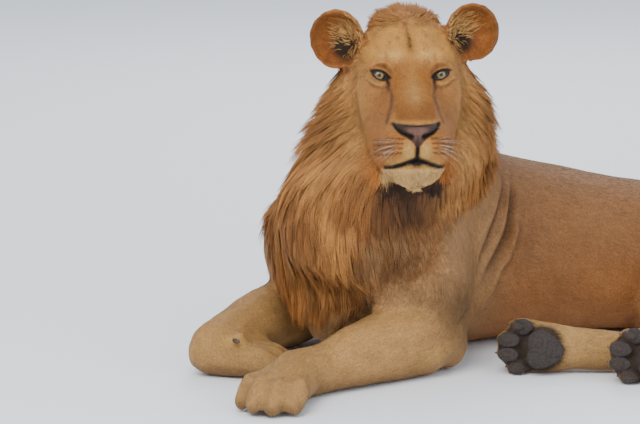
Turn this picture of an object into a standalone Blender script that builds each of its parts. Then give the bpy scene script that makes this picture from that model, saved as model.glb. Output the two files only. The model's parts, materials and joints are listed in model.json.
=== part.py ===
"""A young male lion lying down, life size, as a still museum model. Metres, +Z up, head towards -Y.

The whole animal, out to the tips of its coat, is modelled as overlapping forms that are fused into one
skin. Thin cuts then part that skin into the pieces a person would name. +X is the lion's left side.
"""

import math

import bmesh
import bpy
import numpy as np
from mathutils import Matrix, Vector

# Driving dimensions
HEAD_TURN = math.radians(48.5)  # how far the head looks to the lion's left
HEAD_TIP = math.radians(11)  # how far it looks up
EYES = Vector((0.19, -0.09, 0.574))  # point between the two pupils
EYE_APART = 0.113
EYE_RADIUS = 0.0175
EYE_DEPTH = 0.021  # from the point between the pupils back to an eyeball's centre
GAP = 0.0003  # clearance left between two pieces
WELD = 0.00002  # points closer than this are one
FORM_GRAIN = 0.0052  # cell of the grid that fuses the forms
FORM_FACES = 2840  # triangles in the fused animal before it is parted
FORM_EASE = 22  # passes that ease the fused forms into one another
FINE_WEIGHT = 7e-6  # how much longer the face and paws keep their mesh when it is thinned out
PRESS = 0.006  # how far the soft underside is pressed flat by the ground
EAR = {1: Vector((0.116, 0.082, 0.080)), -1: Vector((-0.126, 0.082, 0.070))}
EAR_HALF_WIDTH = 0.051
EAR_HALF_HEIGHT = 0.055
EAR_OUT = 12  # degrees the cups open outwards
EAR_LEAN = 14  # degrees their tops lean out
EAR_UP = 4
EAR_SIDES = 14
EAR_BACK = [(0.00, 0.040), (0.50, 0.035), (0.85, 0.018), (1.00, -0.008), (1.00, -0.020)]  # share out, depth
EAR_FRONT = [(0.92, -0.020), (0.80, 0.000), (0.45, 0.019), (0.00, 0.026)]
EAR_TIP_SHARE = 0.02  # radius of the smallest ring, in place of a point
EYE_OPENING = (0.0165, 0.016, 0.0085)  # half sizes of the almond cut between the lids
EYE_OPENING_SHIFT = Vector((0.001, -0.012, 0.000))  # outwards, back and up from the eyeball's centre
BALL_TO_TOES = 0.085  # from the ball of a hind foot to where its toes end
FOREPAW_TURN = {1: 22, -1: 133}  # degrees each forepaw turns about the wrist
DEWCLAW = Vector((0.062, -0.006, 0.080))  # from the right wrist, with its height above the ground
DEWCLAW_SIZE = (0.011, 0.004, 0.005)

# Toes of a hind foot, across it and towards the toes, and what each toe carries
HIND_TOES = ((-0.037, 0.056), (-0.013, 0.076), (0.013, 0.076), (0.037, 0.056))
TOE_SPREAD = 1.05  # pads and claws fan out a little more than the toes
TOE_PAD_SIZE = (0.0125, 0.020, 0.013)
TOE_PAD_SHIFT = (0.004, 0.013)  # back and out of the sole, from the end of the toe
CLAW_SIZE = (0.0035, 0.010, 0.0045)
CLAW_SHIFT = (-0.018, -0.0065)
HEEL_PAD_SIZE = (0.037, 0.032, 0.017)
HEEL_PAD = (0, -0.008, 0.019)

# How a round end draws in: reach, then share of the width left
ROUND_END = [(1.0, 0.35), (0.8, 0.72), (0.45, 0.93)]


def turned(degrees, axis):
    return Matrix.Rotation(math.radians(degrees), 4, axis)


HEAD = Matrix.Translation(EYES) @ Matrix.Rotation(HEAD_TURN, 4, "Z") @ Matrix.Rotation(-HEAD_TIP, 4, "X")

# Joints of the lying pose
ELBOW = {1: Vector((0.168, -0.012, 0.075)), -1: Vector((-0.175, 0.015, 0.079))}
WRIST = {1: Vector((0.128, -0.315, 0.049)), -1: Vector((-0.105, -0.30, 0.058))}
HIP = {1: Vector((0.42, 0.80, 0.235)), -1: Vector((0.37, 0.82, 0.10))}
KNEE = {1: Vector((0.375, 0.47, 0.15)), -1: Vector((0.27, 0.54, 0.075))}
HOCK = {1: Vector((0.705, 0.415, 0.041)), -1: Vector((0.515, 0.335, 0.041))}
HIND_TOE = {1: Vector((0.455, 0.165, 0.058)), -1: Vector((0.262, 0.075, 0.058))}


# Frames that the cutting boxes are drawn in, each about a point of the pose
FRAMES = {
    "world": Matrix.Identity(4),
    "head": HEAD,
    "mouth": HEAD @ Matrix.Translation((0, -0.105, -0.148)) @ turned(-19, "X"),
    "paw_left": Matrix.Translation(WRIST[1]) @ turned(FOREPAW_TURN[1], "Z"),
    "paw_right": Matrix.Translation(WRIST[-1]) @ turned(FOREPAW_TURN[-1], "Z"),
    "arm_left": Matrix.Translation(ELBOW[1]) @ turned(-12, "Z"),
    "arm_right": Matrix.Translation(ELBOW[-1]) @ turned(14, "Z"),
    "hip_left": Matrix.Translation(HIP[1]) @ turned(-8, "Z"),
    "loin": Matrix.Translation((0.25, 0.665, 0)) @ turned(-37, "Z"),
    "ribs": Matrix.Translation((0.03, 0.31, 0)) @ turned(-18, "Z"),
    "neck": Matrix.Translation((0.02, 0.10, 0.365)) @ turned(28, "X"),
}

# What is parted off in turn: name, frame, and the lowest and highest corner of the box.
# The chest is what is left at the end.
HEAD_AND_TAIL_CUTS = [
    ("nose", "head", (-0.043, -0.20, -0.1215), (0.043, -0.113, -0.0885)),
    ("jaw", "mouth", (-0.066, -0.08, -0.062), (0.066, 0.10, 0.0)),
    ("head", "head", (-0.122, -0.30, -0.225), (0.122, 0.088, 0.20)),
    ("tail_tuft", "world", (-0.30, 0.70, -0.1), (0.0, 0.90, 0.1)),
    ("tail_end", "world", (-0.30, 0.90, -0.1), (0.15, 1.30, 0.2)),
    ("tail_middle", "world", (0.15, 1.00, -0.1), (0.37, 1.30, 0.2)),
    ("tail_base", "world", (0.30, 0.985, -0.1), (0.60, 1.30, 0.2)),
]
HIND_FOOT_CUT = ((-0.12, -0.112, -0.040), (0.12, 0.86, 0.06))  # its length is a share of the foot's
BODY_CUTS = [
    ("forepaw_left", "paw_left", (-0.10, -0.25, -0.2), (0.10, 0.0, 0.2)),
    ("forepaw_right", "paw_right", (-0.09, -0.155, -0.2), (0.09, -0.018, 0.055)),
    ("forearm_left", "arm_left", (-0.09, -0.42, -0.2), (0.09, -0.02, 0.080)),
    ("forearm_right", "arm_right", (-0.09, -0.42, -0.2), (0.09, -0.02, 0.080)),
    ("upper_arm_left", "world", (0.105, -0.17, -0.1), (0.40, 0.13, 0.29)),
    ("upper_arm_right", "world", (-0.40, -0.20, -0.1), (-0.105, 0.13, 0.29)),
    ("shank_left", "world", (0.47, 0.30, -0.1), (0.90, 0.60, 0.142)),
    ("shank_right", "world", (0.315, 0.25, -0.1), (0.60, 0.62, 0.14)),
    ("thigh_left", "hip_left", (-0.055, -0.50, -0.4), (0.25, 0.06, 0.3)),
    ("thigh_right", "world", (0.20, 0.40, -0.1), (0.50, 0.72, 0.13)),
    ("rump", "loin", (-0.4, -0.02, -0.3), (0.5, 0.6, 0.5)),
    ("abdomen", "ribs", (-0.4, 0.0, -0.3), (0.5, 0.9, 0.5)),
    ("neck_mane", "neck", (-0.4, -0.45, 0.0), (0.5, 0.15, 0.5)),
    ("chest_mane", "world", (-0.3, -0.4, -0.1), (0.3, -0.072, 0.6)),
]


def clear_scene():
    for old in list(bpy.data.objects):
        bpy.data.objects.remove(old)


def smooth_path(points, per_span):
    """Rows of numbers read from a Catmull-Rom curve through the given rows."""
    rows = np.array(points, float)
    ends = np.vstack([2 * rows[0] - rows[1], rows, 2 * rows[-1] - rows[-2]])
    found = []
    for i in range(len(rows) - 1):
        a, b, c, d = ends[i : i + 4]
        for step in range(per_span):
            t = step / per_span
            square = (2 * a - 5 * b + 4 * c - d) * t**2
            cube = (3 * b - a - 3 * c + d) * t**3
            found.append(0.5 * (2 * b + (c - a) * t + square + cube))
    found.append(rows[-1])
    return np.array(found)


def add_loft(bm, stations, place=None, sides=20, per_span=4, square=2.0):
    """A closed tube with round ends. A station is x, y, z, half width and half height.

    A square above 2 flattens its sides.
    """
    place = place or Matrix.Identity(4)
    rows = smooth_path(stations, per_span)
    centres = [place @ Vector(r[:3]) for r in rows]
    up = (place.to_3x3() @ Vector((0, 0, 1))).normalized()
    rings = []
    count = len(rows)
    for i, row in enumerate(rows):
        along = centres[min(i + 1, count - 1)] - centres[max(i - 1, 0)]
        along.normalize()
        side = along.cross(up)
        if side.length < 0.05:
            side = along.cross(Vector((1, 0, 0)))
        side.normalize()
        top = side.cross(along)
        shapes = [(centres[i], 1.0)]
        end = min(row[3], row[4])
        if i == 0:
            shapes = [(centres[0] - along * end * far, left) for far, left in ROUND_END] + shapes
        if i == count - 1:
            shapes += [(centres[i] + along * end * far, left) for far, left in reversed(ROUND_END)]
        for middle, share in shapes:
            ring = []
            for k in range(sides):
                angle = 2 * math.pi * k / sides
                c, s = math.cos(angle), math.sin(angle)
                wide = math.copysign(abs(c) ** (2 / square), c) * row[3] * share
                high = math.copysign(abs(s) ** (2 / square), s) * row[4] * share
                ring.append(middle + side * wide + top * high)
            rings.append(ring)
    skin_rings(bm, rings)


def add_blob(bm, centre, radii, place=None, turn=(0, 0, 0)):
    """An ellipsoid: its centre and half sizes, turned about X, Y and Z in degrees."""
    spin = turned(turn[2], "Z") @ turned(turn[1], "Y") @ turned(turn[0], "X")
    matrix = Matrix.Translation(Vector(centre)) @ spin @ Matrix.Diagonal((*radii, 1))
    if place:
        matrix = place @ matrix
    bmesh.ops.create_uvsphere(bm, u_segments=24, v_segments=16, radius=1, matrix=matrix)


def add_stack(bm, rows, place=None, turn=0, sides=24, per_span=4):
    """Level oval slices piled up with round ends. A row is x, y, z, half width and half depth."""
    place = place or Matrix.Identity(4)
    found = [tuple(row) for row in smooth_path(rows, per_span)]
    way = 1 if found[-1][2] > found[0][2] else -1

    def rounded(row, way):
        x, y, z, wide, deep = row
        reach = min(wide, deep) * way
        return [(x, y, z + reach * far, wide * left, deep * left) for far, left in ROUND_END]

    rings = []
    spin = turned(turn, "Z")
    for x, y, z, wide, deep in rounded(found[0], -way) + found + rounded(found[-1], way)[::-1]:
        ring = []
        for k in range(sides):
            angle = 2 * math.pi * k / sides
            edge = spin @ Vector((math.cos(angle) * wide, math.sin(angle) * deep, 0))
            ring.append(place @ (Vector((x, y, z)) + edge))
        rings.append(ring)
    skin_rings(bm, rings)


def skin_rings(bm, rings):
    """Closed body through rings that all have the same number of points."""
    made = [[bm.verts.new(point) for point in ring] for ring in rings]
    sides = len(made[0])
    for one, two in zip(made, made[1:]):
        for k in range(sides):
            n = (k + 1) % sides
            bm.faces.new((one[k], one[n], two[n], two[k]))
    bm.faces.new(list(reversed(made[0])))
    bm.faces.new(made[-1])


def both_sides(bm, centre, radii, place, turn=(0, 0, 0)):
    for side in (1, -1):
        x, y, z = centre
        add_blob(bm, (x * side, y, z), radii, place, (turn[0], turn[1] * side, turn[2] * side))


# Level slices of the head in millimetres, from the chin to the crown: height, then the left half of the
# outline as (out, back) pairs, from the middle of the face round to the widest point.
FACE_SLICES = [
    (-206, (0, -55), (8, -52), (14, -46), (20, -34), (26, -12), (32, 24), (40, 78)),
    (-198, (0, -78), (14, -75), (25, -63), (33, -44), (40, -16), (48, 26), (58, 80)),
    (-184, (0, -94), (17, -91), (31, -78), (41, -56), (50, -24), (61, 24), (72, 82)),
    (-166, (0, -100), (18, -98), (34, -88), (47, -66), (58, -30), (70, 24), (82, 84)),
    (-152, (0, -106), (20, -112), (39, -103), (56, -76), (64, -32), (77, 26), (89, 85)),
    (-138, (0, -117), (20, -122), (41, -113), (60, -84), (68, -34), (82, 26), (95, 86)),
    (-122, (0, -122), (20, -125), (41, -116), (60, -86), (69, -34), (84, 26), (99, 86)),
    (-106, (0, -131), (22, -128), (40, -113), (58, -82), (69, -30), (86, 28), (103, 88)),
    (-90, (0, -126), (22, -120), (37, -104), (54, -72), (70, -25), (90, 30), (108, 90)),
    (-70, (0, -101), (24, -96), (38, -80), (53, -52), (74, -12), (100, 38), (115, 95)),
    (-45, (0, -72), (24, -67), (38, -52), (54, -26), (80, 4), (108, 46), (120, 100)),
    (-22, (0, -44), (24, -39), (38, -22), (56, -3), (84, 14), (112, 52), (121, 105)),
    (0, (0, -18), (22, -15), (36, -4), (57, 3), (84, 22), (112, 60), (120, 105)),
    (17, (0, -9), (20, -8), (36, -3), (57, -1), (82, 22), (108, 62), (116, 105)),
    (35, (0, -3), (20, -3), (38, -2), (56, 5), (76, 25), (98, 62), (106, 105)),
    (55, (0, 6), (20, 7), (38, 12), (54, 21), (70, 37), (86, 65), (94, 105)),
    (75, (0, 26), (18, 28), (32, 34), (46, 43), (58, 56), (70, 80), (76, 108)),
    (92, (0, 55), (14, 57), (24, 61), (34, 68), (42, 78), (50, 92), (54, 110)),
    (103, (0, 85), (8, 86), (14, 88), (20, 92), (26, 97), (30, 103), (32, 110)),
]
NAPE = 175  # how far back every slice of the head reaches


def add_head(bm):
    """Skull, cheeks and muzzle.

    Head frame: X to its left, Y back, Z up, from the point between the pupils.
    """
    outlines = []
    for height, *half in FACE_SLICES:
        side = half[-1]
        half = half + [(side[0] * 0.92, 140), (side[0] * 0.55, NAPE - 8), (0, NAPE)]
        loop = half + [(-x, y) for x, y in reversed(half[1:-1])]
        wrapped = loop[-1:] + loop + loop[:2]
        fine = smooth_path([(x, y, height) for x, y in wrapped], 3)[3:-6]
        outlines.append(fine)
    stack = smooth_path([outline.flatten() for outline in outlines], 3)
    rings = [[HEAD @ (Vector(point) * 0.001) for point in row.reshape(-1, 3)] for row in stack]
    skin_rings(bm, rings)
    both_sides(bm, (0.034, -0.083, -0.134), (0.029, 0.036, 0.024), HEAD)  # whisker pads
    add_blob(bm, (0, 0.103, 0.066), (0.080, 0.078, 0.068), HEAD)  # hair on the crown


def add_neck_and_mane(bm):
    """Short young mane from behind the ears, round the cheeks, down the throat to the chest."""
    ruff = [
        (0.000, 0.135, 0.070, 0.085, 0.070),
        (0.000, 0.130, 0.020, 0.130, 0.090),
        (0.003, 0.135, -0.040, 0.158, 0.102),
        (-0.006, 0.140, -0.100, 0.175, 0.115),
        (-0.028, 0.135, -0.155, 0.184, 0.128),
        (-0.056, 0.130, -0.210, 0.184, 0.130),
        (-0.085, 0.125, -0.265, 0.160, 0.115),
    ]
    add_stack(bm, ruff, HEAD)
    throat = [
        (0.090, -0.024, 0.430, 0.155, 0.120),
        (0.070, -0.054, 0.350, 0.180, 0.135),
        (0.038, -0.074, 0.270, 0.172, 0.115),
        (0.010, -0.078, 0.200, 0.145, 0.090),
    ]
    add_stack(bm, throat, turn=40)
    bib = [
        (0.035, -0.060, 0.340, 0.150, 0.115),
        (0.010, -0.085, 0.260, 0.145, 0.100),
        (0.000, -0.105, 0.190, 0.115, 0.075),
        (0.005, -0.120, 0.125, 0.070, 0.050),
        (0.010, -0.128, 0.085, 0.035, 0.032),
    ]
    add_stack(bm, bib)
    neck = [
        (0.118, -0.020, 0.540, 0.112, 0.112),
        (0.080, 0.020, 0.470, 0.138, 0.140),
        (0.040, 0.060, 0.390, 0.160, 0.165),
        (0.010, 0.110, 0.300, 0.170, 0.180),
        (0.000, 0.170, 0.240, 0.172, 0.180),
    ]
    add_loft(bm, neck)


def add_trunk(bm):
    """Chest, ribs, loin and the rolled hips, bent round to the lion's left."""
    spine = [
        (0.000, -0.075, 0.235, 0.110, 0.140),
        (0.000, 0.000, 0.225, 0.155, 0.195),
        (0.000, 0.100, 0.208, 0.172, 0.208),
        (0.008, 0.220, 0.194, 0.182, 0.194),
        (0.040, 0.340, 0.178, 0.184, 0.178),
        (0.100, 0.455, 0.161, 0.176, 0.161),
        (0.180, 0.565, 0.148, 0.160, 0.148),
        (0.270, 0.690, 0.151, 0.152, 0.151),
        (0.355, 0.805, 0.160, 0.146, 0.160),
        (0.420, 0.895, 0.150, 0.110, 0.125),
    ]
    add_loft(bm, spine, sides=28, square=2.15)
    world = FRAMES["world"]
    both_sides(bm, (0.072, 0.105, 0.320), (0.068, 0.130, 0.100), world, (-18, 14, 0))  # shoulder blade
    both_sides(bm, (0.128, 0.010, 0.215), (0.078, 0.120, 0.150), world, (0, -6, 0))  # upper arm
    both_sides(bm, (0.112, -0.045, 0.225), (0.088, 0.100, 0.125), world, (0, -8, 0))  # shoulder's point


def add_foreleg_left(bm):
    """The near foreleg lies flat on the ground, its paw turned a little out."""
    e, w = ELBOW[1], WRIST[1]
    upper = [
        (0.130, 0.070, 0.300, 0.050, 0.085),
        (0.145, 0.035, 0.220, 0.066, 0.110),
        (0.160, 0.018, 0.150, 0.066, 0.092),
        (e.x, e.y + 0.020, 0.085, 0.058, 0.070),
    ]
    add_loft(bm, upper)
    fore = [
        (e.x + 0.003, e.y + 0.040, 0.055, 0.042, 0.050),
        (e.x, e.y, 0.072, 0.062, 0.074),
        (e.x - 0.010, e.y - 0.075, 0.073, 0.064, 0.072),
        (e.x - 0.022, e.y - 0.170, 0.063, 0.056, 0.062),
        (w.x + 0.008, w.y + 0.060, 0.052, 0.046, 0.049),
        (w.x, w.y, w.z, 0.050, 0.047),
    ]
    add_loft(bm, fore)
    add_forepaw(bm, FRAMES["paw_left"])


def add_forepaw(bm, place):
    """Paw on the ground in its own frame: the wrist at the origin, toes towards -Y."""
    palm = [
        (0, 0.000, 0.000, 0.050, 0.045),
        (0, -0.045, -0.004, 0.056, 0.042),
        (0, -0.085, -0.010, 0.060, 0.040),
    ]
    add_loft(bm, palm, place)
    for x, reach in ((-0.048, 0.122), (-0.017, 0.144), (0.017, 0.144), (0.048, 0.122)):
        toe = [
            (x * 0.80, -0.070, -0.004, 0.018, 0.026),
            (x, -reach + 0.016, -0.004, 0.0185, 0.030),
            (x * 1.06, -reach - 0.012, -0.024, 0.0175, 0.021),
        ]
        add_loft(bm, toe, place, sides=12, per_span=3)


def add_foreleg_right(bm):
    """The far foreleg slopes down to a folded wrist, with the paw tucked under and back."""
    e, w = ELBOW[-1], WRIST[-1]
    upper = [
        (-0.122, 0.085, 0.300, 0.050, 0.085),
        (-0.145, 0.045, 0.220, 0.060, 0.105),
        (-0.165, 0.030, 0.150, 0.058, 0.092),
        (e.x, e.y + 0.020, e.z, 0.054, 0.075),
    ]
    add_loft(bm, upper)
    fore = [
        (e.x, e.y + 0.040, e.z - 0.020, 0.045, 0.055),
        (e.x, e.y - 0.010, e.z, 0.060, 0.074),
        (e.x + 0.018, e.y - 0.095, e.z - 0.004, 0.061, 0.070),
        (e.x + 0.042, e.y - 0.190, 0.076, 0.055, 0.061),
        (w.x - 0.010, w.y + 0.055, 0.068, 0.049, 0.053),
        (w.x, w.y, w.z, 0.050, 0.052),
    ]
    add_loft(bm, fore)
    palm = [
        (w.x, w.y - 0.008, 0.050, 0.048, 0.048),
        (w.x + 0.028, w.y + 0.018, 0.040, 0.050, 0.038),
        (w.x + 0.055, w.y + 0.042, 0.038, 0.054, 0.036),
    ]
    add_loft(bm, palm)
    tucked = Matrix.Translation((w.x + 0.055, w.y + 0.042, 0.040)) @ turned(FOREPAW_TURN[-1], "Z")
    for x, reach in ((-0.043, 0.030), (-0.015, 0.046), (0.015, 0.046), (0.043, 0.030)):
        toe = [
            (x * 0.8, 0.010, 0.000, 0.018, 0.028),
            (x, -reach + 0.015, 0.000, 0.019, 0.030),
            (x * 1.05, -reach - 0.012, -0.008, 0.018, 0.024),
        ]
        add_loft(bm, toe, tucked, sides=12, per_span=3)
    add_blob(bm, (w.x + 0.052, w.y + 0.012, 0.082), (0.016, 0.016, 0.013))  # dewclaw


def hind_frame(side):
    """Frame of a hind foot lying on its edge: origin at the ball, -Y to the toes, +Z out of the sole."""
    back = (HOCK[side] - HIND_TOE[side]).normalized()
    flat = Vector((back.y, -back.x, 0.10)).normalized()  # out of the sole, away from the belly
    across = back.cross(flat).normalized()
    flat = across.cross(back).normalized()
    turn = Matrix((across, back, flat)).transposed().to_4x4()
    return Matrix.Translation(HIND_TOE[side] + back * BALL_TO_TOES) @ turn


def hind_foot_length(side):
    """From the ball of the foot to the hock."""
    return (HOCK[side] - HIND_TOE[side]).length - BALL_TO_TOES


def add_hind_foot(bm, side):
    """Long foot on its edge. The toes fan out across it; the sole faces away from the belly."""
    place = hind_frame(side)
    length = hind_foot_length(side)
    shank_end = [
        (0, length, -0.002, 0.036, 0.040),
        (0, length * 0.62, -0.006, 0.036, 0.032),
        (0, length * 0.25, -0.006, 0.042, 0.032),
        (0, 0.0, -0.004, 0.050, 0.034),
    ]
    add_loft(bm, shank_end, place)
    for x, reach in HIND_TOES:
        toe = [
            (x * 0.8, 0.015, -0.012, 0.016, 0.024),
            (x, -reach + 0.022, -0.012, 0.0165, 0.027),
            (x * 1.05, -reach, 0.000, 0.0155, 0.021),
        ]
        add_loft(bm, toe, place, sides=12, per_span=3)


def add_hind_legs(bm):
    h, k, o = HIP[1], KNEE[1], HOCK[1]
    thigh = [
        (h.x - 0.02, h.y + 0.055, h.z - 0.04, 0.085, 0.100),
        (h.x + 0.01, h.y - 0.050, h.z - 0.04, 0.085, 0.120),
        (h.x + 0.02, h.y - 0.180, 0.165, 0.080, 0.110),
        (k.x + 0.02, k.y + 0.030, k.z, 0.070, 0.085),
        (k.x + 0.01, k.y - 0.025, k.z - 0.01, 0.055, 0.065),
    ]
    add_loft(bm, thigh)
    shank = [
        (k.x + 0.015, k.y, k.z - 0.015, 0.066, 0.068),
        (k.x + 0.110, k.y - 0.005, 0.105, 0.062, 0.062),
        (k.x + 0.215, k.y - 0.025, 0.068, 0.046, 0.050),
        (o.x - 0.040, o.y + 0.012, 0.048, 0.036, 0.044),
        (o.x + 0.012, o.y + 0.006, o.z, 0.036, 0.042),
    ]
    add_loft(bm, shank)
    h, k, o = HIP[-1], KNEE[-1], HOCK[-1]
    thigh = [
        (h.x, h.y, h.z, 0.085, 0.100),
        (0.320, 0.690, 0.085, 0.085, 0.088),
        (k.x, k.y, k.z, 0.070, 0.078),
    ]
    add_loft(bm, thigh)
    shank = [
        (k.x, k.y, k.z, 0.066, 0.068),
        (k.x + 0.090, k.y - 0.075, 0.062, 0.056, 0.060),
        (k.x + 0.175, k.y - 0.150, 0.050, 0.040, 0.046),
        (o.x + 0.006, o.y + 0.010, o.z, 0.036, 0.040),
    ]
    add_loft(bm, shank)
    for side in (1, -1):
        add_hind_foot(bm, side)


def add_tail(bm):
    """Tail laid on the ground behind the rump, ending in its tuft."""
    run = [
        (0.420, 0.900, 0.150, 0.045, 0.045),
        (0.455, 0.975, 0.090, 0.034, 0.034),
        (0.440, 1.060, 0.038, 0.027, 0.027),
        (0.370, 1.130, 0.026, 0.025, 0.025),
        (0.260, 1.160, 0.024, 0.024, 0.024),
        (0.140, 1.135, 0.023, 0.022, 0.023),
        (0.040, 1.060, 0.022, 0.020, 0.022),
        (-0.020, 0.960, 0.021, 0.019, 0.021),
        (-0.050, 0.880, 0.024, 0.025, 0.024),
        (-0.075, 0.810, 0.030, 0.036, 0.032),
        (-0.095, 0.740, 0.024, 0.022, 0.024),
    ]
    add_loft(bm, run, sides=14, per_span=3)


def new_object(name, bm, group):
    mesh = bpy.data.meshes.new(name)
    bm.to_mesh(mesh)
    bm.free()
    made = bpy.data.objects.new(name, mesh)
    group.objects.link(made)
    return made


def apply_modifiers(made):
    """Turns what the modifiers give into the object's own mesh."""
    graph = bpy.context.evaluated_depsgraph_get()
    given = bpy.data.meshes.new_from_object(made.evaluated_get(graph))
    made.modifiers.clear()
    old = made.data
    made.data = given
    bpy.data.meshes.remove(old)


def boolean(made, cutter, operation):
    cut = made.modifiers.new("cut", "BOOLEAN")
    cut.operation = operation
    cut.solver = "EXACT"
    cut.object = cutter
    apply_modifiers(made)


def fine_share(point):
    """1 where small features need a fine mesh (face and paws), 0 on the plain body."""
    local = HEAD.inverted() @ point
    share = 1 - min(1, max(0, ((local - Vector((0, -0.03, -0.05))).length - 0.13) / 0.05))
    feet = [(WRIST[1], 0.18), (WRIST[-1], 0.12), (HIND_TOE[1], 0.13), (HIND_TOE[-1], 0.13)]
    for centre, reach in feet:
        share = max(share, 0.8 * (1 - min(1, max(0, ((point - centre).length - reach) / 0.05))))
    return share


def fused_animal(group):
    """All the forms fused into one closed skin, eased, thinned out and pressed flat where it lies."""
    bm = bmesh.new()
    add_head(bm)
    add_neck_and_mane(bm)
    add_trunk(bm)
    add_foreleg_left(bm)
    add_foreleg_right(bm)
    add_hind_legs(bm)
    add_tail(bm)
    bmesh.ops.recalc_face_normals(bm, faces=bm.faces)
    body = new_object("forms", bm, group)
    fuse = body.modifiers.new("fuse", "REMESH")
    fuse.mode = "VOXEL"
    fuse.voxel_size = FORM_GRAIN
    apply_modifiers(body)
    plain = body.vertex_groups.new(name="plain")
    fine = body.vertex_groups.new(name="fine")
    for vertex in body.data.vertices:
        share = fine_share(vertex.co)
        plain.add([vertex.index], 1 - 0.8 * share, "REPLACE")
        fine.add([vertex.index], 0.9 * share, "REPLACE")
    ease = body.modifiers.new("ease", "SMOOTH")
    ease.factor = 0.5
    ease.iterations = FORM_EASE
    ease.vertex_group = "plain"
    apply_modifiers(body)
    thin = body.modifiers.new("thin", "DECIMATE")
    thin.ratio = FORM_FACES / (2 * len(body.data.polygons))
    thin.vertex_group = "fine"
    thin.invert_vertex_group = True
    thin.vertex_group_factor = FINE_WEIGHT
    apply_modifiers(body)
    floor = bmesh.new()
    bmesh.ops.create_cube(floor, size=4, matrix=Matrix.Translation((0, 0, PRESS - 2)))
    floor = new_object("floor", floor, group)
    boolean(body, floor, "DIFFERENCE")
    bpy.data.objects.remove(floor)
    return body


def block(low, high, place, group, grow=0.0):
    """A box between two corners of a frame, grown all round."""
    bm = bmesh.new()
    low = Vector(low) - Vector((grow, grow, grow))
    high = Vector(high) + Vector((grow, grow, grow))
    matrix = place @ Matrix.Translation((low + high) / 2) @ Matrix.Diagonal((*(high - low), 1))
    bmesh.ops.create_cube(bm, size=1, matrix=matrix)
    return new_object("cutter", bm, group)


def part_off(body, name, low, high, place, parts, guides):
    """Parts the piece inside a box from the body, leaving a thin gap."""
    piece = body.copy()
    piece.data = body.data.copy()
    piece.name = name
    for holder in piece.users_collection:
        holder.objects.unlink(piece)
    parts.objects.link(piece)
    inner = block(low, high, place, guides)
    boolean(piece, inner, "INTERSECT")
    outer = block(low, high, place, guides, GAP)
    boolean(body, outer, "DIFFERENCE")
    tidy_mesh(piece)
    tidy_mesh(body)
    bpy.data.objects.remove(inner)
    bpy.data.objects.remove(outer)
    return piece


def tidy_mesh(piece):
    """Closes hairline edges a cut leaves and drops the specks beside the piece."""
    bm = bmesh.new()
    bm.from_mesh(piece.data)
    bmesh.ops.remove_doubles(bm, verts=bm.verts, dist=WELD)
    bmesh.ops.dissolve_degenerate(bm, edges=bm.edges, dist=WELD)
    unseen = set(bm.verts)
    islands = []
    while unseen:
        reached = {unseen.pop()}
        front = list(reached)
        while front:
            vertex = front.pop()
            for edge in vertex.link_edges:
                other = edge.other_vert(vertex)
                if other in unseen:
                    unseen.discard(other)
                    reached.add(other)
                    front.append(other)
        islands.append(reached)
    islands.sort(key=len)
    for island in islands[:-1]:
        bmesh.ops.delete(bm, geom=list(island), context="VERTS")
    bm.to_mesh(piece.data)
    bm.free()


def seat(body, name, maker, parts, guides):
    """Adds a piece of its own and sinks a seat for it, a thin gap larger, in the body."""
    made = new_object(name, maker(0.0), parts)
    seat_form = new_object("seat", maker(GAP), guides)
    boolean(body, seat_form, "DIFFERENCE")
    bpy.data.objects.remove(seat_form)
    return made


def ball(centre, radii, place, segments, rings):
    def maker(grow):
        bm = bmesh.new()
        matrix = place @ Matrix.Translation(centre) @ Matrix.Diagonal((*[r + grow for r in radii], 1))
        bmesh.ops.create_uvsphere(bm, u_segments=segments, v_segments=rings, radius=1, matrix=matrix)
        return bm

    return maker


def ear(side):
    """A round cup open to the front, thin at the rim, thick where it joins the head."""

    def maker(grow):
        bm = bmesh.new()
        place = ear_frame(side)
        rings = []
        for i, (share, depth) in enumerate(EAR_BACK + EAR_FRONT):
            out = grow if i < len(EAR_BACK) else -grow
            shift = grow if i < len(EAR_BACK) - 1 else -grow
            reach = share + out / EAR_HALF_WIDTH if share else EAR_TIP_SHARE
            ring = []
            for k in range(EAR_SIDES):
                angle = 2 * math.pi * k / EAR_SIDES
                x = math.cos(angle) * reach * EAR_HALF_WIDTH
                z = math.sin(angle) * reach * EAR_HALF_HEIGHT
                ring.append(place @ Vector((x, depth + shift, z)))
            rings.append(ring)
        skin_rings(bm, rings)
        bmesh.ops.recalc_face_normals(bm, faces=bm.faces)
        return bm

    return maker


def ear_frame(side):
    turn = turned(EAR_OUT * side, "Z") @ turned(EAR_LEAN * side, "Y") @ turned(EAR_UP, "X")
    return HEAD @ Matrix.Translation(EAR[side]) @ turn


COATS = {  # surface colour and roughness of a piece, by the first word that fits its name
    "eye": ((0.45, 0.33, 0.10), 0.1),
    "nose": ((0.12, 0.06, 0.05), 0.5),
    "hind_pad": ((0.05, 0.04, 0.04), 0.7),
    "hind_claw": ((0.05, 0.03, 0.02), 0.4),
    "dewclaw": ((0.05, 0.03, 0.02), 0.4),
    "tail_tuft": ((0.06, 0.04, 0.02), 0.9),
    "ear": ((0.42, 0.25, 0.11), 0.9),
    "neck_mane": ((0.42, 0.24, 0.09), 0.9),
    "chest_mane": ((0.36, 0.19, 0.07), 0.9),
    "": ((0.45, 0.28, 0.13), 0.9),
}


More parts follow.
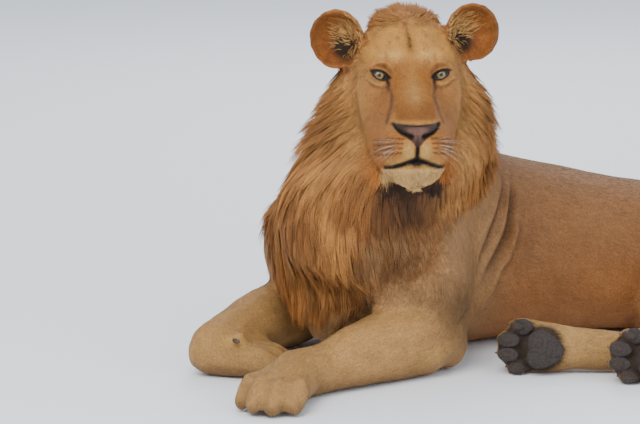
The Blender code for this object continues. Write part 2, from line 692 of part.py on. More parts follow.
def colour_and_place(parts):
    """A material for each piece, and the origin under the middle of the whole animal."""
    corners = np.array([point for piece in parts.objects for point in piece.bound_box])
    low, high = corners.min(axis=0), corners.max(axis=0)
    shift = Vector((-(low[0] + high[0]) / 2, -(low[1] + high[1]) / 2, -PRESS))
    for piece in parts.objects:
        piece.data.transform(Matrix.Translation(shift))
        piece.data.materials.clear()
        look = next(look for word, look in COATS.items() if piece.name.startswith(word))
        material = bpy.data.materials.new(piece.name)
        material.use_nodes = True
        shader = material.node_tree.nodes["Principled BSDF"]
        shader.inputs["Base Color"].default_value = (*look[0], 1)
        shader.inputs["Roughness"].default_value = look[1]
        piece.data.materials.append(material)
        for face in piece.data.polygons:
            face.use_smooth = False


def add_hind_toe_pieces(body, side, word, parts, guides):
    """Pads and claws of one hind foot, each seated in the foot."""
    foot = hind_frame(side)
    for i, (x, reach) in enumerate(HIND_TOES):
        back, out = TOE_PAD_SHIFT
        pad = ball((x * TOE_SPREAD, back - reach, out), TOE_PAD_SIZE, foot, 7, 4)
        seat(body, f"hind_pad_{word}_{i + 1}", pad, parts, guides)
        back, out = CLAW_SHIFT
        claw = ball((x * TOE_SPREAD, back - reach, out), CLAW_SIZE, foot, 5, 4)
        seat(body, f"hind_claw_{word}_{i + 1}", claw, parts, guides)
    heel = ball(HEEL_PAD, HEEL_PAD_SIZE, foot, 10, 5)
    seat(body, f"hind_pad_{word}_main", heel, parts, guides)


def add_eye(body, side, word, parts, guides):
    """Eyeball in its seat, and the almond opening between the lids in front of it."""
    centre = Vector((EYE_APART / 2 * side, EYE_DEPTH, 0))
    seat(body, f"eye_{word}", ball(centre, [EYE_RADIUS] * 3, HEAD, 12, 7), parts, guides)
    out, back, up = EYE_OPENING_SHIFT
    middle = centre + Vector((out * side, back, up))
    opening = new_object("opening", ball(middle, EYE_OPENING, HEAD, 10, 6)(0), guides)
    boolean(body, opening, "DIFFERENCE")
    bpy.data.objects.remove(opening)


def main():
    clear_scene()
    scene = bpy.context.scene
    parts = bpy.data.collections.new("lion")
    guides = bpy.data.collections.new("guides")
    scene.collection.children.link(parts)
    scene.collection.children.link(guides)
    body = fused_animal(guides)
    sides = ((1, "left"), (-1, "right"))
    for side, word in sides:
        add_eye(body, side, word, parts, guides)
        seat(body, f"ear_{word}", ear(side), parts, guides)
        add_hind_toe_pieces(body, side, word, parts, guides)
    wrist = WRIST[-1]
    dewclaw_centre = (wrist.x + DEWCLAW.x, wrist.y + DEWCLAW.y, DEWCLAW.z)
    seat(body, "dewclaw_right", ball(dewclaw_centre, DEWCLAW_SIZE, FRAMES["world"], 6, 4), parts, guides)

    for name, frame, low, high in HEAD_AND_TAIL_CUTS:
        part_off(body, name, low, high, FRAMES[frame], parts, guides)
    for side, word in sides:
        low, (wide, share, top) = HIND_FOOT_CUT
        high = (wide, hind_foot_length(side) * share, top)
        part_off(body, f"hind_foot_{word}", low, high, hind_frame(side), parts, guides)
    for name, frame, low, high in BODY_CUTS:
        part_off(body, name, low, high, FRAMES[frame], parts, guides)
    body.name = "chest"
    guides.objects.unlink(body)
    parts.objects.link(body)
    colour_and_place(parts)


main()
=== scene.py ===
import json
import math

import bpy
import numpy as np
from mathutils import Matrix, Vector
from mathutils.bvhtree import BVHTree
from mathutils.kdtree import KDTree

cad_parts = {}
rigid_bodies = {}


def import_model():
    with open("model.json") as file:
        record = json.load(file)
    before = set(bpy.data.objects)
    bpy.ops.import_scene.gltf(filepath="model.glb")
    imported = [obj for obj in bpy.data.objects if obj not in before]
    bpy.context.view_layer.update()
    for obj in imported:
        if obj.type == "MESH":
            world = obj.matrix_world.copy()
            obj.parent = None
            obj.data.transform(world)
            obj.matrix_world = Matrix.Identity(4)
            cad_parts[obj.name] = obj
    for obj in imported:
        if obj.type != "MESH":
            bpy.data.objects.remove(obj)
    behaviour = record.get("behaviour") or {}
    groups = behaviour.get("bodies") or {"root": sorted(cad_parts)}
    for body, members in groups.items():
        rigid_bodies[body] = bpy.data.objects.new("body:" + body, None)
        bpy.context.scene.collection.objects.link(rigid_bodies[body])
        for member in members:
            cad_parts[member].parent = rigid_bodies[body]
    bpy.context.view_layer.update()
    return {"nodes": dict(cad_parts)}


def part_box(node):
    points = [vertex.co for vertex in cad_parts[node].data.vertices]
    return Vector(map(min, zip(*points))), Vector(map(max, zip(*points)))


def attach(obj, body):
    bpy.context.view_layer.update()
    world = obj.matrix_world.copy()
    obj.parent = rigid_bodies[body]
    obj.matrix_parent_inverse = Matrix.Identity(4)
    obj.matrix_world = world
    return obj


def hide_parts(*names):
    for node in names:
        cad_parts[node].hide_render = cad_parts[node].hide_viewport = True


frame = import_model()
print("frame loaded")

# the head's own frame is x to its left, y back and z up, in millimetres from the point between the pupils
headPose = {"turn": 48.5, "tip": 11.0, "eyeDepth": 0.021, "drawnAt": (0.19, -0.09, 0.574)}
sideSigns = {"left": 1, "right": -1}


def nodeMiddle(name):
    low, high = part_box(name)
    return (Vector(low) + Vector(high)) / 2


headTurn = Matrix.Rotation(math.radians(headPose["turn"]), 4, "Z")
headTurn = headTurn @ Matrix.Rotation(-math.radians(headPose["tip"]), 4, "X")
eyeMiddle = (nodeMiddle("eye_left") + nodeMiddle("eye_right")) / 2
headOrigin = eyeMiddle - headTurn.to_3x3() @ Vector((0, headPose["eyeDepth"], 0))
headAxes = np.array(headTurn.to_3x3())
drawnShift = np.array(headOrigin - Vector(headPose["drawnAt"]))


def toHead(points):
    return (np.asarray(points) - np.array(headOrigin)) @ headAxes * 1000


def fromHead(points):
    return (np.asarray(points) / 1000) @ headAxes.T + np.array(headOrigin)


def unit(vectors):
    return vectors / np.maximum(np.linalg.norm(vectors, axis=-1, keepdims=True), 1e-9)


def ramp(values, low, high):
    t = np.clip((values - low) / (high - low), 0, 1)
    return t * t * (3 - 2 * t)


def blend(a, b, share):
    share = np.asarray(share)
    if share.ndim and (np.shape(a)[-1:] == (3,) or np.shape(b)[-1:] == (3,)):
        share = share[..., None]
    return a * (1 - share) + b * share


def spotOf(points, middle, size):
    # 1 at the middle, fading away over the size
    return np.exp(-(((points - middle) / size) ** 2).sum(1))


def cloudy(points, size, seed):
    # soft random pattern from crossed waves, about -1 to 1
    draw = np.random.default_rng(seed)
    total = np.zeros(len(points))
    for _ in range(9):
        direction = unit(draw.normal(size=3)) * draw.uniform(0.6, 1.7) * 2 * math.pi / size
        total += np.sin(points @ direction + draw.uniform(0, 6.28))
    return np.clip(total / 3.2, -1, 1)


def distanceTo(path, points):
    # distance in the plane from points to a line through the path, and how far along it (0 to 1)
    path = np.array(path, float)
    best = np.full(len(points), 1e9)
    along = np.zeros(len(points))
    count = len(path) - 1
    for i in range(count):
        step = path[i + 1] - path[i]
        t = np.clip(((points - path[i]) @ step) / (step @ step), 0, 1)
        far = np.linalg.norm(points - path[i] - t[:, None] * step, axis=1)
        nearer = far < best
        best[nearer] = far[nearer]
        along[nearer] = (i + t[nearer]) / count
    return best, along


def newMesh(name, points, faces):
    mesh = bpy.data.meshes.new(name)
    mesh.vertices.add(len(points))
    mesh.vertices.foreach_set("co", np.asarray(points, np.float32).ravel())
    corners = faces.shape[1]
    mesh.loops.add(faces.size)
    mesh.loops.foreach_set("vertex_index", faces.astype(np.int32).ravel())
    mesh.polygons.add(len(faces))
    mesh.polygons.foreach_set("loop_start", np.arange(len(faces), dtype=np.int32) * corners)
    mesh.update(calc_edges=True)
    made = bpy.data.objects.new(name, mesh)
    bpy.context.scene.collection.objects.link(made)
    return made


def readFloats(items, key, width):
    values = np.empty(len(items) * width, np.float32)
    items.foreach_get(key, values)
    return values.reshape(-1, width).astype(float)


def readInts(items, key, width):
    values = np.empty(len(items) * width, np.int32)
    items.foreach_get(key, values)
    return values.reshape(-1, width)


def pointsOf(made):
    return readFloats(made.data.vertices, "co", 3)


def setPoints(made, points):
    made.data.vertices.foreach_set("co", np.asarray(points, np.float32).ravel())
    made.data.update()


def normalsOf(made):
    return readFloats(made.data.vertices, "normal", 3)


def edgesOf(made):
    return readInts(made.data.edges, "vertices", 2)


def trianglesOf(mesh, key="vertices"):
    mesh.calc_loop_triangles()
    return readInts(mesh.loop_triangles, key, 3)


def select(made):
    bpy.ops.object.select_all(action="DESELECT")
    made.select_set(True)
    bpy.context.view_layer.objects.active = made


def pointOutwards(made):
    select(made)
    bpy.ops.object.mode_set(mode="EDIT")
    bpy.ops.mesh.select_all(action="SELECT")
    bpy.ops.mesh.normals_make_consistent(inside=False)
    bpy.ops.object.mode_set(mode="OBJECT")
    bpy.ops.object.shade_smooth()


def addModifier(made, kind, **values):
    modifier = made.modifiers.new(kind.lower(), kind)
    for key, value in values.items():
        setattr(modifier, key, value)
    select(made)
    bpy.ops.object.modifier_apply(modifier=modifier.name)


def setGroup(made, name, weights):
    group = made.vertex_groups.get(name) or made.vertex_groups.new(name=name)
    levels = np.round(np.clip(weights, 0, 1) * 20).astype(int)
    for level in np.unique(levels):
        group.add(np.flatnonzero(levels == level).tolist(), level / 20, "REPLACE")


def smoothField(values, edges, rounds):
    # each point takes the mean of itself and its neighbours, again and again
    count = len(values)
    a, b = edges.T
    degree = np.bincount(a, minlength=count) + np.bincount(b, minlength=count) + 1.0
    values = np.array(values, float)
    flat = values.reshape(count, -1)
    for _ in range(rounds):
        flat = np.stack(
            [
                (c + np.bincount(a, c[b], minlength=count) + np.bincount(b, c[a], minlength=count)) / degree
                for c in flat.T
            ],
            1,
        )
    return flat.reshape(values.shape)


# the flesh of the solids is joined as the start of the skin
notFlesh = ("eye_", "hind_claw", "dewclaw")
fleshNodes = sorted(name for name in frame["nodes"] if not name.startswith(notFlesh))


def joinNodes(names):
    points, faces, owners = [], [], []
    start = 0
    for index, name in enumerate(names):
        co = pointsOf(frame["nodes"][name])
        tris = trianglesOf(frame["nodes"][name].data)
        points.append(co)
        faces.append(tris + start)
        owners.append(np.full(len(tris), index))
        start += len(co)
    return np.vstack(points), np.vstack(faces), np.concatenate(owners)


solidPoints, solidFaces, solidOwner = joinNodes(fleshNodes)
solidTree = BVHTree.FromPolygons([Vector(p) for p in solidPoints], solidFaces.tolist())


def ownersOf(points):
    return np.array([solidOwner[solidTree.find_nearest(Vector(p))[2]] for p in points])


skinBuild = {
    "grain": 0.0040,
    "bodyEase": 50,
    "maneEase": 30,
    "faces": 80000,
    "faceKeep": 6e-6,
    "lowest": 0.0004,
}
coatDepth = {"body": 0.0032, "mane": 0.015, "tuft": 0.013, "chin": 0.007, "ear": 0.0004}

joined = joinNodes(fleshNodes + ["eye_left", "eye_right"])
skin = newMesh("skin", joined[0], joined[1])
addModifier(skin, "REMESH", mode="VOXEL", voxel_size=skinBuild["grain"])
print("skin fused", len(skin.data.vertices))

owner = ownersOf(pointsOf(skin))
nodeOf = {name: index for index, name in enumerate(fleshNodes)}


def isNode(labels, *starts):
    wanted = [index for name, index in nodeOf.items() if name.startswith(starts)]
    return np.isin(labels, wanted).astype(float)


footReaches = {
    "forepaw_left": 0.10,
    "forepaw_right": 0.085,
    "hind_pad_left_2": 0.10,
    "hind_pad_right_2": 0.10,
}


def footShare(points):
    share = np.zeros(len(points))
    for name, reach in footReaches.items():
        far = np.linalg.norm(points - np.array(nodeMiddle(name)), axis=1)
        share = np.maximum(share, 1 - ramp(far, reach, reach + 0.05))
    return share


def faceShare(head):
    far = np.linalg.norm((head - [0, -20, -45]) / [118, 110, 135], axis=1)
    return 1 - ramp(far, 0.95, 1.2)


points = pointsOf(skin)
face = faceShare(toHead(points))
feet = footShare(points)
ears = isNode(owner, "ear_")
limb = isNode(owner, "fore", "shank", "hind", "tail")
ease = 1 - np.maximum.reduce([0.80 * face, 0.75 * feet, 0.9 * ears, 0.5 * limb])
setGroup(skin, "ease", ease)
addModifier(skin, "SMOOTH", factor=0.5, iterations=skinBuild["bodyEase"], vertex_group="ease")

edges = edgesOf(skin)
points = pointsOf(skin)
head = toHead(points)

# how far out from the middle of the face its short hair reaches, at each height
faceEdgeLook = {
    "heights": [-215, -195, -165, -120, -60, 0, 40, 70, 92, 106],
    "reaches": [30, 50, 72, 88, 97, 98, 92, 84, 62, 4],
}


def faceEdge(up):
    return np.interp(up, faceEdgeLook["heights"], faceEdgeLook["reaches"])


def maneShare(points, head, labels, edges, rounds):
    # 1 where long hair grows: neck, throat, chest, round the face, and at the front of the shoulder
    mane = isNode(labels, "neck_mane", "chest_mane")
    onHead = isNode(labels, "head", "jaw")
    out = np.abs(head[:, 0]) - faceEdge(head[:, 2])
    beside = (head[:, 1] < 78) & (head[:, 2] > -185) & (head[:, 2] < 70)
    mane = np.where(beside & (mane > 0), np.maximum(ramp(out, -14, 12), ramp(head[:, 1], 40, 74)), mane)
    mane = np.maximum(mane, onHead * ramp(out, -12, 14))
    mane = np.maximum(mane, onHead * ramp(head[:, 1], 52, 80) * ramp(head[:, 2], -40, 0))
    mane = np.maximum(mane, onHead * (1 - ramp(head[:, 2], -206, -186)) * ramp(head[:, 1], -45, -20))
    x, y, z = (points - drawnShift).T
    shoulder = ramp(z, 0.185, 0.215) * (1 - ramp(y, -0.060, -0.025)) * ramp(x, 0.0, 0.06)
    mane = np.maximum(mane, 0.75 * shoulder * isNode(labels, "upper_arm_left", "chest"))
    mane = mane * ramp(z + 0.25 * np.maximum(x, 0), 0.085, 0.15)
    mane = mane * (1 - ramp(spotOf(head, [0, -66, -180], [62, 60, 24]), 0.25, 0.6))  # not on the chin
    return smoothField(mane, edges, rounds)


mane = maneShare(points, head, owner, edges, 34)
wide = smoothField(mane, edges, 60)
tuft = smoothField(isNode(owner, "tail_tuft"), edges, 4)
chin = spotOf(head, [0, -66, -184], [40, 34, 17])
limb = smoothField(limb, edges, 6)
# how deep the skin lies inside the solids, which reach the tips of the coat
depth = coatDepth["body"] - 0.0012 * np.maximum(face, feet) - 0.0006 * limb
depth = depth * (1 - ears) + coatDepth["ear"] * ears
depth = blend(depth, coatDepth["mane"], ramp(wide, 0.15, 0.95))
depth = depth + coatDepth["tuft"] * tuft + coatDepth["chin"] * chin * (1 - ears)
setPoints(skin, points - normalsOf(skin) * depth[:, None])
setGroup(skin, "mane", np.maximum(ramp(wide, 0.3, 0.95), tuft) * (1 - ears))
addModifier(skin, "SMOOTH", factor=0.5, iterations=skinBuild["maneEase"], vertex_group="mane")
setGroup(skin, "fine", 1 - 0.9 * np.maximum.reduce([face, 0.7 * ears, 0.6 * feet]))
addModifier(
    skin,
    "DECIMATE",
    ratio=skinBuild["faces"] / (2 * len(skin.data.polygons)),
    vertex_group="fine",
    vertex_group_factor=skinBuild["faceKeep"],
)
skin.vertex_groups.clear()
print("skin thinned", len(skin.data.polygons))


def refine(made, wanted):
    # a finer mesh where the face and the folds are modelled
    select(made)
    bpy.ops.object.mode_set(mode="EDIT")
    bpy.ops.mesh.select_mode(type="FACE")
    bpy.ops.mesh.select_all(action="DESELECT")
    bpy.ops.object.mode_set(mode="OBJECT")
    made.data.polygons.foreach_set("select", wanted(readFloats(made.data.polygons, "center", 3)))
    bpy.ops.object.mode_set(mode="EDIT")
    bpy.ops.mesh.subdivide(number_cuts=1)
    bpy.ops.mesh.select_all(action="SELECT")
    bpy.ops.mesh.quads_convert_to_tris()
    bpy.ops.object.mode_set(mode="OBJECT")


def nearFace(points):
    head = toHead(points)
    return (np.abs(head[:, 0]) < 92) & (head[:, 1] < 46) & (head[:, 2] > -212) & (head[:, 2] < 92)


def nearFeatures(points):
    head = toHead(points)
    eye = np.hypot(np.abs(head[:, 0]) - 56, head[:, 2]) < 25
    nose = (np.abs(head[:, 0]) < 47) & (head[:, 2] < -78) & (head[:, 2] > -126) & (head[:, 1] < -70)
    lips = (np.abs(head[:, 0]) < 68) & (head[:, 2] < -126) & (head[:, 2] > -176) & (head[:, 1] < -25)
    return (eye & (head[:, 1] < 25)) | nose | lips


# folds of loose skin behind the shoulder and at the flank: points as drawn in the solids, width, height
bodyFolds = [
    ([(0.138, 0.222, 0.338), (0.161, 0.190, 0.309), (0.171, 0.162, 0.272), (0.175, 0.142, 0.239),
      (0.176, 0.124, 0.208), (0.173, 0.113, 0.178)], 0.0048, -0.0080),
    ([(0.229, 0.029, 0.166), (0.233, 0.004, 0.132)], 0.0050, -0.0030),
    ([(0.138, 0.248, 0.335), (0.164, 0.219, 0.300), (0.179, 0.194, 0.256), (0.181, 0.178, 0.228),
      (0.181, 0.156, 0.201), (0.176, 0.140, 0.172), (0.172, 0.123, 0.149)], 0.0062, -0.0120),
    ([(0.219, 0.046, 0.138), (0.231, 0.002, 0.105), (0.228, -0.012, 0.083)], 0.0055, -0.0050),
    ([(0.139, 0.236, 0.337), (0.163, 0.205, 0.305), (0.175, 0.179, 0.264), (0.178, 0.160, 0.233),
      (0.178, 0.141, 0.204), (0.174, 0.127, 0.175)], 0.0060, 0.0078),
    ([(0.173, 0.231, 0.287), (0.184, 0.206, 0.249), (0.185, 0.183, 0.203), (0.180, 0.163, 0.175),
      (0.173, 0.150, 0.139), (0.158, 0.136, 0.099)], 0.0085, 0.0110),
    ([(0.226, 0.020, 0.100), (0.224, 0.005, 0.061)], 0.0070, 0.0045),
    ([(0.190, 0.262, 0.262), (0.196, 0.245, 0.210), (0.190, 0.225, 0.160)], 0.0200, -0.0080),
    ([(0.120, 0.205, 0.345), (0.150, 0.168, 0.305), (0.165, 0.135, 0.262), (0.168, 0.110, 0.225)],
     0.0100, 0.0045),
    ([(-0.130, 0.180, 0.320), (-0.170, 0.165, 0.240), (-0.175, 0.110, 0.140)], 0.0080, -0.0060),
    ([(-0.120, 0.155, 0.330), (-0.160, 0.140, 0.240), (-0.168, 0.090, 0.140)], 0.0080, 0.0055),
    ([(0.300, 0.560, 0.260), (0.345, 0.540, 0.200), (0.330, 0.500, 0.130)], 0.0120, -0.0070),
]
shoulderFolds = 9  # the first ones, on the left shoulder, are fine enough to need more mesh
foldLook = {"fade": 0.060, "sides": 0.013}


def smoothLine(path, per=6):
    # points on a curve through the path
    rows = np.array(path, float)
    ends = np.vstack([2 * rows[0] - rows[1], rows, 2 * rows[-1] - rows[-2]])
    found = []
    for i in range(len(rows) - 1):
        a, b, c, d = ends[i : i + 4]
        for k in range(per):
            t = k / per
            bend = (2 * a - 5 * b + 4 * c - d) * t**2 + (3 * b - a - 3 * c + d) * t**3
            found.append(0.5 * (2 * b + (c - a) * t + bend))
    found.append(rows[-1])
    return np.array(found)


def distance3d(path, points):
    # distance to a line in space, worked out only near it
    best = np.full(len(points), 1e9)
    near = np.linalg.norm(points - path.mean(0), axis=1) < 0.25
    some = points[near]
    found = np.full(len(some), 1e9)
    for a, b in zip(path, path[1:]):
        step = b - a
        t = np.clip(((some - a) @ step) / (step @ step), 0, 1)
        found = np.minimum(found, np.linalg.norm(some - a - t[:, None] * step, axis=1))
    best[near] = found
    return best


def nearFolds(points, reach=0.024):
    found = np.zeros(len(points), bool)
    for path, _, _ in bodyFolds[:shoulderFolds]:
        found |= distance3d(smoothLine(path, 3) + drawnShift, points) < reach
    return found


refine(skin, nearFace)
refine(skin, nearFeatures)
refine(skin, nearFolds)
refine(skin, lambda centres: nearFolds(centres, 0.017))
print("skin refined", len(skin.data.polygons))

# the face is modelled on paths in millimetres across and up it
faceShape = {
    "eyeOut": 56.0,
    "eyeRadius": 17.5,
    "lidThick": 2.0,
    "eyeDepth": 21.0,
    "openOut": -0.5,
    "openUp": -0.8,
    "openWide": 11.4,
    "openHigh": 6.4,
    "openTilt": 22,
    "lower": 0.041,
}

mouthLine = [(0, -150), (12, -153.5), (26, -159), (40, -163.5), (56, -165)]

# path, width at its start and end, and how far it stands out (+) or sinks (-), for both sides of the face
pairedStrokes = [
    ([(36, 13), (46, 20), (60, 22), (76, 15)], (8, 8), 5.0),  # brow
    ([(42, 8), (49, 14.5), (60, 16), (72, 10)], (1.8, 1.8), -2.2),  # crease over the upper lid
    ([(76, -3), (68, -12), (57, -17)], (4, 4), 1.8),  # pouch under the eye
    ([(80, -3), (73, -12), (63, -19.5), (53, -23)], (1.8, 2.2), -2.4),  # crease below the pouch
    ([(44, -8), (39, -18), (37, -30), (42, -50), (49, -70)], (3.4, 2.6), -3.0),  # tear groove
    ([(30, -28), (31, -50), (34, -72)], (8, 8), 1.6),  # edge of the nose bridge
    ([(52, -34), (58, -56), (62, -76)], (12, 10), -2.4),  # hollow of the cheek beside the bridge
    ([(24, -132), (40, -132), (54, -137)], (15, 14), 5.0),  # whisker pad
    ([(10, -126), (12, -138), (16, -148)], (8, 8), 2.6),  # inner end of the upper lip
    (mouthLine, (3.0, 3.0), -9.0),  # mouth line
    ([(6, -145), (14, -149), (26, -154), (40, -159)], (3.5, 3.5), 2.2),  # edge of the upper lip
    ([(60, -165), (67, -152), (71, -132)], (3.0, 5.0), -2.6),  # corner of the mouth
    ([(0, -170), (20, -173), (40, -176)], (9, 8), 3.0),  # chin
    ([(12, -109), (18, -107), (27, -102.5), (34, -96), (39, -88)], (4.0, 2.2), -8.0),  # nostril
    ([(14, -97), (26, -95)], (4.5, 3.5), 1.6),  # rim over the nostril
    ([(29, -108), (20, -114)], (4, 3), 1.0),  # below the nostril
    ([(86, -60), (82, -90), (76, -120)], (12, 11), -1.5),  # hollow behind the muzzle
    ([(22, 34), (27, 48), (26, 66)], (12, 12), 2.4),  # muscle over the brow
    ([(50, 34), (58, 50), (56, 70)], (8, 9), -1.6),  # temple
]
middleStrokes = [
    ([(0, -108), (0, -120), (0, -134), (0, -150)], (1.8, 2.4), -4.2),  # cleft below the nose
    ([(-30, -87.5), (-10, -90), (0, -91), (10, -90), (30, -87.5)], (1.6, 1.6), -1.8),  # above the nose pad
    ([(-4, 100), (-2, 76), (0, 48)], (2.6, 3.0), -3.2),  # forehead crease
    ([(0, 30), (0, 10)], (9, 9), -1.0),  # dip between the brows
    ([(-9, -97), (0, -99), (9, -97)], (8, 8), 1.2),  # front of the nose pad
]


def faceMap(head):
    # across and up the face, as its parts are placed: what stands out in front is placed a little lower
    return np.column_stack([head[:, 0], head[:, 2] - faceShape["lower"] * head[:, 1]])


def nosePad(head):
    # 1 inside the bare pad of the nose
    across, up = np.abs(faceMap(head)).T[0], faceMap(head)[:, 1]
    edge = np.interp(up, [-129, -127, -121, -112, -104, -96, -90, -85], [-6, 3.5, 8, 17, 27, 34, 38, 41])
    top = np.interp(across, [0, 10, 30, 36, 41], [-90, -89, -87, -88, -84])
    inside = np.minimum(edge - across, top - up)
    return ramp(inside, -0.8, 0.8) * (head[:, 1] < -75)


def eyePlane(head, side):
    # along and across the opening of an eye, outwards and up
    u = head[:, 0] * side - faceShape["eyeOut"] - faceShape["openOut"]
    w = head[:, 2] - faceShape["openUp"]
    t = math.radians(faceShape["openTilt"])
    return u * math.cos(t) + w * math.sin(t), w * math.cos(t) - u * math.sin(t)


def openingOf(head, side):
    # below 1 inside the almond between the lids
    along, across = eyePlane(head, side)
    high = faceShape["openHigh"] * np.where(across > 0, 1.0, 0.95)
    return (np.abs(along) / faceShape["openWide"]) ** 1.7 + (np.abs(across) / high) ** 2


def modelFace(made):
    head = toHead(pointsOf(made))
    outward = normalsOf(made) @ headAxes
    front = ramp(-outward[:, 1], 0.0, 0.35) * (head[:, 1] < 60)
    push = np.zeros(len(head))
    flat = faceMap(head)
    mirrored = np.column_stack([np.abs(flat[:, 0]), flat[:, 1]])
    for strokes, plane in ((pairedStrokes, mirrored), (middleStrokes, flat)):
        for path, width, amount in strokes:
            far, along = distanceTo(path, plane)
            reach = width[0] + (width[1] - width[0]) * along
            push += amount * np.exp(-((far / reach) ** 2))
    push += 1.3 * nosePad(head)
    head[:, 1] -= push * front
    # small forms of the skin, so that the bare parts aren't glassy
    head[:, 1] += 0.35 * cloudy(head, 16, 11) * front
    for side in (1, -1):
        u = head[:, 0] * side - faceShape["eyeOut"]
        r = np.hypot(u, head[:, 2])
        ball = faceShape["eyeRadius"] + faceShape["lidThick"]
        lid = faceShape["eyeDepth"] - np.sqrt(np.maximum(ball**2 - r**2, 16))
        share = (1 - ramp(r, 11, 24)) * (head[:, 1] < 30)
        head[:, 1] = blend(head[:, 1], lid, share)
        opening = openingOf(head, side)
        rim = np.exp(-(((opening - 1.35) / 0.35) ** 2)) * (r < 24)
        head[:, 1] -= 0.7 * rim
        hole = (1 - ramp(opening, 0.93, 1.12)) * (r < 24)
        inner = faceShape["eyeDepth"] - np.sqrt(np.maximum((faceShape["eyeRadius"] - 5) ** 2 - r**2, 4))
        head[:, 1] = blend(head[:, 1], inner, hole * (head[:, 1] < 30))
    setPoints(made, fromHead(head))


modelFace(skin)
print("face modelled")
skin.data.polygons.foreach_set("use_smooth", np.ones(len(skin.data.polygons), bool))


def surfacePath(path):
    # the path laid on the skin's surface
    places = smoothLine(path) + drawnShift
    return np.array([np.array(skinTree.find_nearest(Vector(p))[0]) for p in places])


def treeOf(made):
    return BVHTree.FromPolygons([Vector(p) for p in pointsOf(made)], trianglesOf(made.data).tolist())


skinTree = treeOf(skin)
points = pointsOf(skin)
normals = normalsOf(skin)
rise = np.zeros(len(points))
# painted shade of the folds: darkest along the grooves, with a broader darkening beside them
grooveShadeMask = np.zeros(len(points))
foldSideShade = np.zeros(len(points))
foldPaths = [surfacePath(path) for path, _, _ in bodyFolds]
for path, (_, width, height) in zip(foldPaths, bodyFolds):
    ends = np.minimum(np.linalg.norm(points - path[0], axis=1), np.linalg.norm(points - path[-1], axis=1))
    far = distance3d(path, points)
    strength = 0.10 + 0.90 * ramp(ends, 0, foldLook["fade"])
    rise += height * np.exp(-((far / width) ** 2)) * strength
    if height < 0 and width < 0.01:  # a groove, which is darker
        grooveShadeMask = np.maximum(grooveShadeMask, np.exp(-((far / (width * 1.05)) ** 2)) * strength)
        foldSideShade = np.maximum(foldSideShade, np.exp(-((far / foldLook["sides"]) ** 2)) * strength)
points += normals * rise[:, None]
points += normals * (0.0012 * cloudy(points, 0.09, 5) * (1 - faceShare(toHead(points))))[:, None]
points[:, 2] = np.maximum(points[:, 2], skinBuild["lowest"])
setPoints(skin, points)
skinTree = treeOf(skin)
print("folds modelled")

# fields on the finished skin, from 0 to 1, say what each place is
points = pointsOf(skin)
edges = edgesOf(skin)
normals = normalsOf(skin)
head = toHead(points)
owner = ownersOf(points)
field = {
    "mane": maneShare(points, head, owner, edges, 10),
    "shag": maneShare(points, head, owner, edges, 60),
    "tuft": smoothField(isNode(owner, "tail_tuft"), edges, 4),
    "ear": smoothField(isNode(owner, "ear_"), edges, 1),
    "face": np.maximum(faceShare(head), smoothField(isNode(owner, "head", "jaw", "nose"), edges, 5)),
    "feet": footShare(points),
    "limb": smoothField(isNode(owner, "fore", "shank", "hind", "tail"), edges, 16),
    "tail": smoothField(isNode(owner, "tail"), edges, 16),
    "pad": smoothField(isNode(owner, "hind_pad"), edges, 1),
    "sole": np.zeros(len(points)),
    "grooveShade": grooveShadeMask,
    "nearFold": foldSideShade,
}
onMap = faceMap(head)
lipLine = distanceTo(mouthLine, np.column_stack([np.abs(onMap[:, 0]), onMap[:, 1]]))[0]
lipLine = np.minimum(lipLine, distanceTo([(0, -116), (0, -150)], onMap)[0] + 1)
field["lips"] = (1 - ramp(lipLine, 2.6, 4.0)) * (head[:, 1] < -30)
field["nearLips"] = (1 - ramp(lipLine, 5, 13)) * (head[:, 1] < -30)
for word in sideSigns:
    main = np.array(nodeMiddle(f"hind_pad_{word}_main"))
    out = unit(np.array(skinTree.find_nearest(Vector(main))[1]))
    for which in ("1", "2", "3", "4", "main"):
        far = np.linalg.norm(points - np.array(nodeMiddle(f"hind_pad_{word}_{which}")), axis=1)
        reach = 0.040 if which == "main" else 0.027
        share = (1 - ramp(far, reach, reach * 1.25)) * ramp(normals @ out, 0.05, 0.5)
        field["sole"] = np.maximum(field["sole"], share)
# how hollow the skin is at each point, from how far its neighbours' middle stands out, for its edges'
# length; the coat gets painted shade in the hollows
first, second = edges.T
edgeSize = ((points[first] - points[second]) ** 2).sum(1)
count = len(points)
links = np.maximum(np.bincount(first, minlength=count) + np.bincount(second, minlength=count), 1)
sizes = np.bincount(first, edgeSize, minlength=count) + np.bincount(second, edgeSize, minlength=count)
meanSize = sizes / links
hollow = 2.33 * ((smoothField(points, edges, 1) - points) * normals).sum(1) / np.maximum(meanSize, 1e-8)
field["cavity"] = smoothField(ramp(hollow, 12, 90), edges, 1)
field["bare"] = np.maximum.reduce([nosePad(head), field["pad"], 0.6 * field["lips"]])

